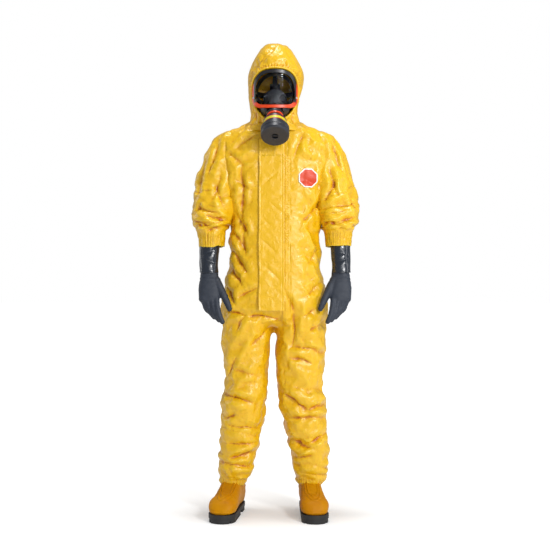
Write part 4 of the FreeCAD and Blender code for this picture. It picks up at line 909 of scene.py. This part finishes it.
def placket(surface):
    """Gathered under-flap that shows beside the storm flap on the wearer's left."""
    columns = np.linspace(HINGE_X - .004, .0615, 26)
    rows = np.linspace(.752, 1.462, 340)
    sheet = laid_sheet("placket_fabric", surface, columns, rows, .0012, 2, 5, False)
    co = points_of(sheet)
    x, z = co[:, 0], co[:, 2]
    pucker = np.abs(np.sin(z * 420 + 4 * value_noise(co, .03, 8))) - .5
    height = .0014 * pucker * band(x, .0475, .006) * smoothstep(1.02, 1.06, z)
    height -= .0010 * band(x, .0475, .0012) + .0010 * band(x, .0360, .0014)
    height += .0010 * value_noise(co, .02, 58)
    shift = co.copy()
    shift[:, 0] += .0022 * value_noise(np.c_[z, z * 0, z * 0], .05, 4) * smoothstep(.05, .0615, x)
    set_points(sheet, shift)
    return finish_sheet(sheet, height, .0012)


BADGE = (.126, 1.289, .0365)


def badge(surface):
    """Blank octagonal patch with a raised pale rim, lying on the breast."""
    cx, cz, half = BADGE
    steps, around = 22, 96
    vertices, faces, rim = [], [], []
    angles = np.linspace(0, 2 * math.pi, around, endpoint=False)
    reach = 1 / np.max([np.cos(angles - k * math.pi / 4) for k in range(8)], axis=0)
    for i in range(1, steps + 1):
        f = i / steps
        lean = (1 - .08 * f * 0)
        for a, r in zip(angles, reach):
            x, z = cx + half * r * f * math.cos(a) * lean, cz + half * r * f * math.sin(a)
            samples = [surface.front(x + dx, z + dz) for dx in (-.006, 0, .006) for dz in (-.006, 0, .006)]
            lift = .0016 + (.0008 if f > .87 else 0)
            vertices.append((x, min(samples) * .5 + sum(samples) / 18 - lift, z))
    middle = len(vertices)
    vertices.append((cx, surface.front(cx, cz) - .002, cz))
    for i in range(steps - 1):
        for j in range(around):
            k = (j + 1) % around
            faces.append((i * around + j, i * around + k, (i + 1) * around + k, (i + 1) * around + j))
            rim.append((i + 1.5) / steps > .88)
    for j in range(around):
        faces.append((middle, (j + 1) % around, j))
        rim.append(False)
    patch = new_object("chest_badge_patch", vertices, faces)
    relax(patch, 2)
    patch.data.materials.append(MATERIALS["badge_red"])
    patch.data.materials.append(MATERIALS["badge_rim"])
    for poly, outer in zip(patch.data.polygons, rim):
        poly.material_index = int(outer)
    bm = bmesh.new()
    bm.from_mesh(patch.data)
    bmesh.ops.recalc_face_normals(bm, faces=bm.faces)
    if sum(f.normal.y for f in bm.faces) > 0:
        bmesh.ops.reverse_faces(bm, faces=bm.faces)
    bm.to_mesh(patch.data)
    bm.free()
    return modify(patch, "SOLIDIFY", thickness=0.0014, offset=-1)


# ---------------------------------------------------------------- materials
def material(name, base, rough, bumps=(), mottle=None, **inputs):
    """A principled surface with noise bumps (scale, strength, distance) and an optional second colour."""
    mat = bpy.data.materials.new(name)
    mat.use_nodes = True
    nodes, links = mat.node_tree.nodes, mat.node_tree.links
    shader = nodes["Principled BSDF"]
    shader.inputs["Base Color"].default_value = (*base, 1)
    shader.inputs["Roughness"].default_value = rough
    for key, value in inputs.items():
        shader.inputs[key.replace("_", " ")].default_value = value
    place = nodes.new("ShaderNodeTexCoord")
    previous = None
    for scale, strength, distance in bumps:
        noise = nodes.new("ShaderNodeTexNoise")
        noise.inputs["Scale"].default_value = scale
        noise.inputs["Detail"].default_value = 6
        noise.inputs["Distortion"].default_value = 0.6
        links.new(place.outputs["Object"], noise.inputs["Vector"])
        bump = nodes.new("ShaderNodeBump")
        bump.inputs["Strength"].default_value = strength
        bump.inputs["Distance"].default_value = distance
        links.new(noise.outputs["Fac"], bump.inputs["Height"])
        if previous:
            links.new(previous.outputs["Normal"], bump.inputs["Normal"])
        previous = bump
    if previous:
        links.new(previous.outputs["Normal"], shader.inputs["Normal"])
    if mottle:
        second, scale, low, high = mottle
        noise = nodes.new("ShaderNodeTexNoise")
        noise.inputs["Scale"].default_value = scale
        noise.inputs["Detail"].default_value = 5
        links.new(place.outputs["Object"], noise.inputs["Vector"])
        ramp = nodes.new("ShaderNodeMapRange")
        ramp.inputs["From Min"].default_value = low
        ramp.inputs["From Max"].default_value = high
        links.new(noise.outputs["Fac"], ramp.inputs["Value"])
        mix = nodes.new("ShaderNodeMix")
        mix.data_type = "RGBA"
        mix.inputs["A"].default_value = (*base, 1)
        mix.inputs["B"].default_value = (*second, 1)
        links.new(ramp.outputs["Result"], mix.inputs["Factor"])
        links.new(mix.outputs["Result"], shader.inputs["Base Color"])
    return mat


def coverall_material():
    """Coated yellow fabric: fine crackle of flat facets, with painted shade (orange darkening in the hollows) and
    painted highlight (paler along the ridges), both driven by pointiness.
    """
    mat = material("coverall_fabric", (.90, .56, .012), .38, ((22, .46, .008), (64, .50, .004), (240, .30, .001)),
                   Coat_Weight=.34, Coat_Roughness=.27, Specular_IOR_Level=.42)
    nodes, links = mat.node_tree.nodes, mat.node_tree.links
    shader = nodes["Principled BSDF"]
    for noise in (n for n in nodes if n.type == "TEX_NOISE"):
        noise.noise_type = "RIDGED_MULTIFRACTAL" if noise.inputs["Scale"].default_value < 200 else "FBM"
        noise.inputs["Detail"].default_value = 2.5
    # painted shade and painted highlight: colour runs from dark orange in the hollows (low pointiness) to pale yellow
    # on the ridges (high pointiness)
    geometry = nodes.new("ShaderNodeNewGeometry")
    ramp = nodes.new("ShaderNodeValToRGB")
    low, high = ramp.color_ramp.elements
    low.position, low.color = .43, (.50, .13, .000, 1)
    high.position, high.color = .60, (.83, .57, .018, 1)
    middle = ramp.color_ramp.elements.new(.485)
    middle.color = (.79, .44, .000, 1)
    links.new(geometry.outputs["Pointiness"], ramp.inputs["Fac"])
    links.new(ramp.outputs["Color"], shader.inputs["Base Color"])
    return mat


def node_of(nodes, kind, operation=None, value=None):
    node = nodes.new(kind)
    if operation:
        node.operation = operation
    if value is not None:
        node.inputs[1].default_value = value
    return node


def two_colour(name, first, second, rough, mask):
    """Material whose second colour shows where mask(nodes, links, generated coordinates) is 1."""
    mat = material(name, first, rough)
    nodes, links = mat.node_tree.nodes, mat.node_tree.links
    place = next(n for n in nodes if n.type == "TEX_COORD")
    mix = nodes.new("ShaderNodeMix")
    mix.data_type = "RGBA"
    mix.inputs["A"].default_value = (*first, 1)
    mix.inputs["B"].default_value = (*second, 1)
    links.new(mask(nodes, links, place.outputs["Generated"]), mix.inputs["Factor"])
    links.new(mix.outputs["Result"], nodes["Principled BSDF"].inputs["Base Color"])
    return mat


def ramp_of(nodes, links, source, low, high):
    ramp = nodes.new("ShaderNodeMapRange")
    ramp.inputs["From Min"].default_value, ramp.inputs["From Max"].default_value = low, high
    links.new(source, ramp.inputs["Value"])
    return ramp.outputs["Result"]


def frame_mask(nodes, links, place):
    """Orange bar along the bottom and a thin orange edge up both sides; black rubber elsewhere."""
    parts = nodes.new("ShaderNodeSeparateXYZ")
    links.new(place, parts.inputs[0])
    aside = node_of(nodes, "ShaderNodeMath", "SUBTRACT", .5)
    links.new(parts.outputs["X"], aside.inputs[0])
    apart = node_of(nodes, "ShaderNodeMath", "ABSOLUTE")
    links.new(aside.outputs[0], apart.inputs[0])
    bar = ramp_of(nodes, links, parts.outputs["Z"], .20, .14)
    edge = node_of(nodes, "ShaderNodeMath", "MULTIPLY")
    links.new(ramp_of(nodes, links, apart.outputs[0], .462, .472), edge.inputs[0])
    links.new(ramp_of(nodes, links, parts.outputs["Z"], .90, .70), edge.inputs[1])
    either = node_of(nodes, "ShaderNodeMath", "MAXIMUM")
    links.new(bar, either.inputs[0])
    links.new(edge.outputs[0], either.inputs[1])
    return either.outputs[0]


def band_mask(nodes, links, place):
    """Thin lines at both rims of the filter's colour band, measured along the tilted filter axis."""
    low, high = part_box("filter_band")
    centred = node_of(nodes, "ShaderNodeVectorMath", "SUBTRACT")
    centred.inputs[1].default_value = (.5, .5, .5)
    links.new(place, centred.inputs[0])
    along = node_of(nodes, "ShaderNodeVectorMath", "DOT_PRODUCT")
    axis = JOINTS["filter_draw"]["axis"]
    along.inputs[1].default_value = [a * (top - bottom) for a, bottom, top in zip(axis, low, high)]
    links.new(centred.outputs["Vector"], along.inputs[0])
    apart = node_of(nodes, "ShaderNodeMath", "ABSOLUTE")
    links.new(along.outputs["Value"], apart.inputs[0])
    return ramp_of(nodes, links, apart.outputs[0], .0050, .0054)


MATERIALS = {
    "coverall_fabric": coverall_material(),
    "elastic_fabric": material("elastic_fabric", (.80, .40, .006), .45, ((120, .4, .002),)),
    "seam_tape": material("seam_tape", (.80, .45, .010), .45, ((90, .3, .002),)),
    "zip_plastic": material("zip_plastic", (.78, .48, .03), .30),
    "badge_red": material("badge_red", (.64, .045, .006), .42, ((400, .25, .0006),)),
    "badge_rim": material("badge_rim", (.85, .83, .80), .45, ((400, .25, .0006),)),
    "facepiece_rubber": material("facepiece_rubber", (.014, .015, .020), .40, ((220, .12, .0006),)),
    "nose_cup": material("nose_cup", (.050, .053, .064), .34, ((220, .10, .0006),)),
    "lens_clear": material("lens_clear", (.93, .95, .96), .03, Transmission_Weight=1.0, IOR=1.12),
    "visor_frame_orange": material("visor_frame_orange", (.80, .06, .008), .30),
    "visor_frame": two_colour("visor_frame", (.016, .016, .018), (.80, .06, .008), .32, frame_mask),
    "filter_black": material("filter_black", (.021, .023, .031), .36, ((300, .12, .0005),)),
    "filter_band": two_colour("filter_band", (.55, .58, .01), (.60, .03, .01), .42, band_mask),
    "filter_media": material("filter_media", (.80, .80, .76), .80),
    "carbon": material("carbon", (.02, .02, .02), .85, ((900, .6, .002),)),
    "hardware_steel": material("hardware_steel", (.50, .50, .50), .32, Metallic=1.0),
    "valve_rubber": material("valve_rubber", (.08, .08, .09), .50),
    "gauntlet_rubber": material("gauntlet_rubber", (.012, .018, .030), .26, ((14, .35, .006),), Coat_Weight=.4,
                                Coat_Roughness=.20),
    "glove_grip": material("glove_grip", (.022, .029, .045), .60, ((420, .35, .0007), (60, .2, .003))),
    "boot_yellow": material("boot_yellow", (.56, .240, .000), .48, ((70, .10, .003), (350, .10, .0006)),
                            mottle=((.48, .180, .000), 9, .40, .65), Specular_IOR_Level=.12),
    "sole_black": material("sole_black", (.014, .014, .015), .55, ((200, .2, .001),)),
}


def dress(obj, slot_name):
    obj.data.materials.clear()
    obj.data.materials.append(MATERIALS[slot_name])
    return obj


# ---- BUILD
def hood_pieces():
    """Hood with its bound face opening, split where the neck turns and nods."""
    skin = join("hood_whole", hood_skin(), face_elastic())
    pieces = carve(skin, lambda c: {
        "hood_fabric": c[:, 2] > NECK_TOP,
        "hood_neck_fabric": (c[:, 2] <= NECK_TOP) & (c[:, 2] > NECK_LOW),
        "hood_base_fabric": c[:, 2] <= NECK_LOW,
    })
    for obj in pieces.values():
        dress(obj, "coverall_fabric")
    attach(pieces["hood_fabric"], "head")
    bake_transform(pieces["hood_neck_fabric"])
    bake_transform(pieces["hood_base_fabric"])
    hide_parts("hood", "hood_face_elastic")
    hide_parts("collar_tape")


NECK_BOTTOM, NECK_LOW, NECK_TOP = 1.470, 1.500, 1.572
# the groin planes lean outwards; distances along them where the trunk ends and where the thigh piece begins
GROIN_Z, LEAN = .740, np.array([.9, 0, -.43])
TRUNK_END, RING_END, THIGH_FULL = .004, .030, .085
KNEE_CUT = .560


def coverall_pieces(skin):
    """Trunk, groin bands, thighs and shins carved out of the one skin; the trunk rides the torso."""
    def groups(c):
        reach = LEAN[0] * np.abs(c[:, 0]) + LEAN[2] * (c[:, 2] - GROIN_Z)
        reach = np.where(c[:, 2] > 1.10, -1, reach)
        masks = {"trunk_fabric": reach <= TRUNK_END}
        for name, side in SIDES:
            mine = (side * c[:, 0] > 0) & (reach > TRUNK_END)
            masks[f"{name}_groin_fabric"] = mine & (reach <= RING_END)
            masks[f"{name}_thigh_fabric"] = mine & (reach > RING_END) & (c[:, 2] > KNEE_CUT)
            masks[f"{name}_shin_fabric"] = mine & (reach > RING_END) & (c[:, 2] <= KNEE_CUT)
        return masks

    pieces = carve(skin, groups)
    for obj in pieces.values():
        dress(obj, "coverall_fabric")
    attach(pieces["trunk_fabric"], "torso")
    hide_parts("front_panel_left", "front_panel_right", "back_panel", "crotch_gusset",
                "left_armhole_tape", "right_armhole_tape")
    for name, side in SIDES:
        normal = LEAN * [side, 1, 1]
        normal = normal / np.linalg.norm(normal)

        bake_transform(pieces[f"{name}_groin_fabric"])
        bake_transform(pieces[f"{name}_thigh_fabric"])
        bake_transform(pieces[f"{name}_shin_fabric"])
        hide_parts(f"{name}_leg_seam_tape")
        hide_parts(f"{name}_trouser_thigh")
        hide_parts(f"{name}_trouser_shin", f"{name}_hem_elastic")


def limbs():
    for name, side in SIDES:
        arm = dress(sleeve(name, side), "coverall_fabric")
        arm.name = f"{name}_sleeve_fabric"
        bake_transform(arm)
        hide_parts(f"{name}_upper_sleeve", f"{name}_forearm_sleeve", f"{name}_cuff_elastic")
        cuff = dress(gauntlet(name, side), "gauntlet_rubber")
        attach(cuff, f"{name}_forearm")
        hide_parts(f"{name}_gauntlet")
        hand, along, root = glove(name, side)
        for obj in hand.values():
            dress(obj, "glove_grip")
        palm, fingers, thumb = (hand[f"{name}_glove_{part}_rubber"] for part in ("palm", "fingers", "thumb"))
        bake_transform(palm)
        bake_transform(fingers)
        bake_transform(thumb)
        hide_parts(f"{name}_glove_palm")
        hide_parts(f"{name}_glove_fingers")
        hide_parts(f"{name}_glove_thumb")
        upper = dress(boot(name, side), "boot_yellow")
        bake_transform(upper)
        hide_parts(f"{name}_boot_shaft", f"{name}_boot_foot")


def front_details(skin):
    surface = Surface(skin)
    flap = dress(storm_flap(surface), "coverall_fabric")
    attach(flap, "flap")
    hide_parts("storm_flap")
    chin = dress(chin_flap(surface), "coverall_fabric")
    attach(chin, "torso")
    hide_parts("chin_flap")
    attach(dress(placket(surface), "coverall_fabric"), "torso")
    patch = badge(surface)
    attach(patch, "torso")
    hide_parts("chest_badge")


def nose_cup():
    """Rounded inner mask behind the lens, with a recess round each of its two valves."""
    tall = np.linspace(-.80, 1.45, 48)
    around = np.linspace(0, 2 * math.pi, 96, endpoint=False)
    rings = [np.stack([.0455 * math.cos(a) * np.cos(around), -.0300 + .0370 * math.cos(a) * np.sin(around),
                       np.full_like(around, 1.586 + .0410 * math.sin(a))], -1) for a in tall]
    cup = tube("nose_cup_rubber", rings, caps=(False, True))
    co = points_of(cup)
    for side in (-1, 1):
        r = np.hypot(co[:, 0] - side * .030, co[:, 2] - 1.588)
        front = co[:, 1] < -.030
        co[:, 1] += front * (.0075 * smoothstep(.0130, .0105, r) - .0016 * np.exp(-((r - .0145) / .0014) ** 2))
    set_points(cup, co)
    dress(cup, "facepiece_rubber")
    cup.data.materials.clear()
    cup.data.materials.append(MATERIALS["nose_cup"])
    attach(cup, "head")
    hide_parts("inner_mask")


# CAD parts that stay visible, by the finish they get
CARRIED = {
    "facepiece_rubber": ("face_seal", "port_housing", "head_harness"),
    "lens_clear": ("visor_lens",),
    "visor_frame_orange": ("visor_frame", "port_ring"),
    "filter_black": ("filter_body", "filter_cap"),
    "filter_band": ("filter_band",),
    "filter_media": ("filter_pleats",),
    "carbon": ("filter_carbon_bed",),
    "hardware_steel": ("mask_hardware",),
    "valve_rubber": ("filter_gasket", "inhale_valve_disc", "inner_valve_discs"),
    "zip_plastic": ("zip_tape", "zip_chain", "zip_slider", "zip_pull"),
    "sole_black": ("left_boot_sole", "right_boot_sole"),
}


def finish_carried():
    for slot_name, names in CARRIED.items():
        for name in names:
            obj = frame["nodes"][name]
            obj.data.materials.clear()
            obj.data.materials.append(MATERIALS["visor_frame" if name == "visor_frame" else slot_name])


# ---------------------------------------------------------------- studio
def area_light(name, at, towards, size, power, colour=(1, 1, 1)):
    light = bpy.data.lights.new(name, "AREA")
    light.shape = "RECTANGLE"
    light.size, light.size_y = size
    light.energy = power
    light.color = colour
    obj = bpy.data.objects.new(name, light)
    bpy.context.scene.collection.objects.link(obj)
    obj.location = at
    obj.rotation_euler = (Vector(towards) - Vector(at)).to_track_quat("-Z", "Y").to_euler()


def studio():
    """White sweep: the camera sees a white room, the suit is lit softly by it and by three softboxes."""
    floor = new_object("studio_floor", [(-30, -30, 0), (30, -30, 0), (30, 30, 0), (-30, 30, 0)], [(0, 1, 2, 3)])
    floor.location.z = -.0005
    pale = material("studio_floor", (.80, .80, .80), .8, Emission_Color=(1, 1, 1, 1))
    nodes, links = pale.node_tree.nodes, pale.node_tree.links
    place = next(n for n in nodes if n.type == "TEX_COORD")
    length = nodes.new("ShaderNodeVectorMath")
    length.operation = "LENGTH"
    fade = nodes.new("ShaderNodeMapRange")
    fade.inputs["From Min"].default_value, fade.inputs["From Max"].default_value = .3, 3.5
    fade.inputs["To Min"].default_value, fade.inputs["To Max"].default_value = .24, .84
    path = nodes.new("ShaderNodeLightPath")
    shown = nodes.new("ShaderNodeMath")
    shown.operation = "MULTIPLY"
    links.new(place.outputs["Object"], length.inputs[0])
    links.new(length.outputs["Value"], fade.inputs["Value"])
    links.new(fade.outputs["Result"], shown.inputs[0])
    links.new(path.outputs["Is Camera Ray"], shown.inputs[1])
    links.new(shown.outputs["Value"], nodes["Principled BSDF"].inputs["Emission Strength"])
    floor.data.materials.append(pale)
    world = bpy.data.worlds.new("studio")
    world.use_nodes = True
    nodes, links = world.node_tree.nodes, world.node_tree.links
    seen = nodes["Background"]
    seen.inputs["Color"].default_value = (1, 1, 1, 1)
    lit = nodes.new("ShaderNodeBackground")
    lit.inputs["Color"].default_value = (1, 1, 1, 1)
    lit.inputs["Strength"].default_value = .33
    path = nodes.new("ShaderNodeLightPath")
    mix = nodes.new("ShaderNodeMixShader")
    links.new(path.outputs["Is Camera Ray"], mix.inputs[0])
    links.new(lit.outputs[0], mix.inputs[1])
    links.new(seen.outputs[0], mix.inputs[2])
    links.new(mix.outputs[0], nodes["World Output"].inputs["Surface"])
    scene = bpy.context.scene
    scene.world = world
    scene.view_settings.view_transform = "Standard"
    area_light("key", (1.9, -3.0, 2.6), (0, 0, 1.15), (.55, .7), 68)
    area_light("front", (1.3, -4.0, 1.7), (0, 0, 1.0), (1.6, 1.8), 42)
    area_light("overhead", (0, .1, 8.0), (0, 0, 0), (1.6, 1.6), 280)
    area_light("side", (2.6, -.6, 1.5), (0, 0, 1.0), (.8, 2.2), 14)
    area_light("rim", (-2.6, .9, 1.8), (0, 0, 1.0), (.7, 2.0), 14)


def camera():
    lens = bpy.data.cameras.new("camera")
    lens.lens, lens.sensor_width = 69, 36
    obj = bpy.data.objects.new("camera", lens)
    obj.location = (0, -4.0395, .921)
    obj.rotation_euler = (math.pi / 2, 0, 0)
    bpy.context.scene.collection.objects.link(obj)
    bpy.context.scene.camera = obj


body_skin = coverall()
front_details(body_skin)
coverall_pieces(body_skin)
hood_pieces()
limbs()
nose_cup()
finish_carried()
studio()
camera()
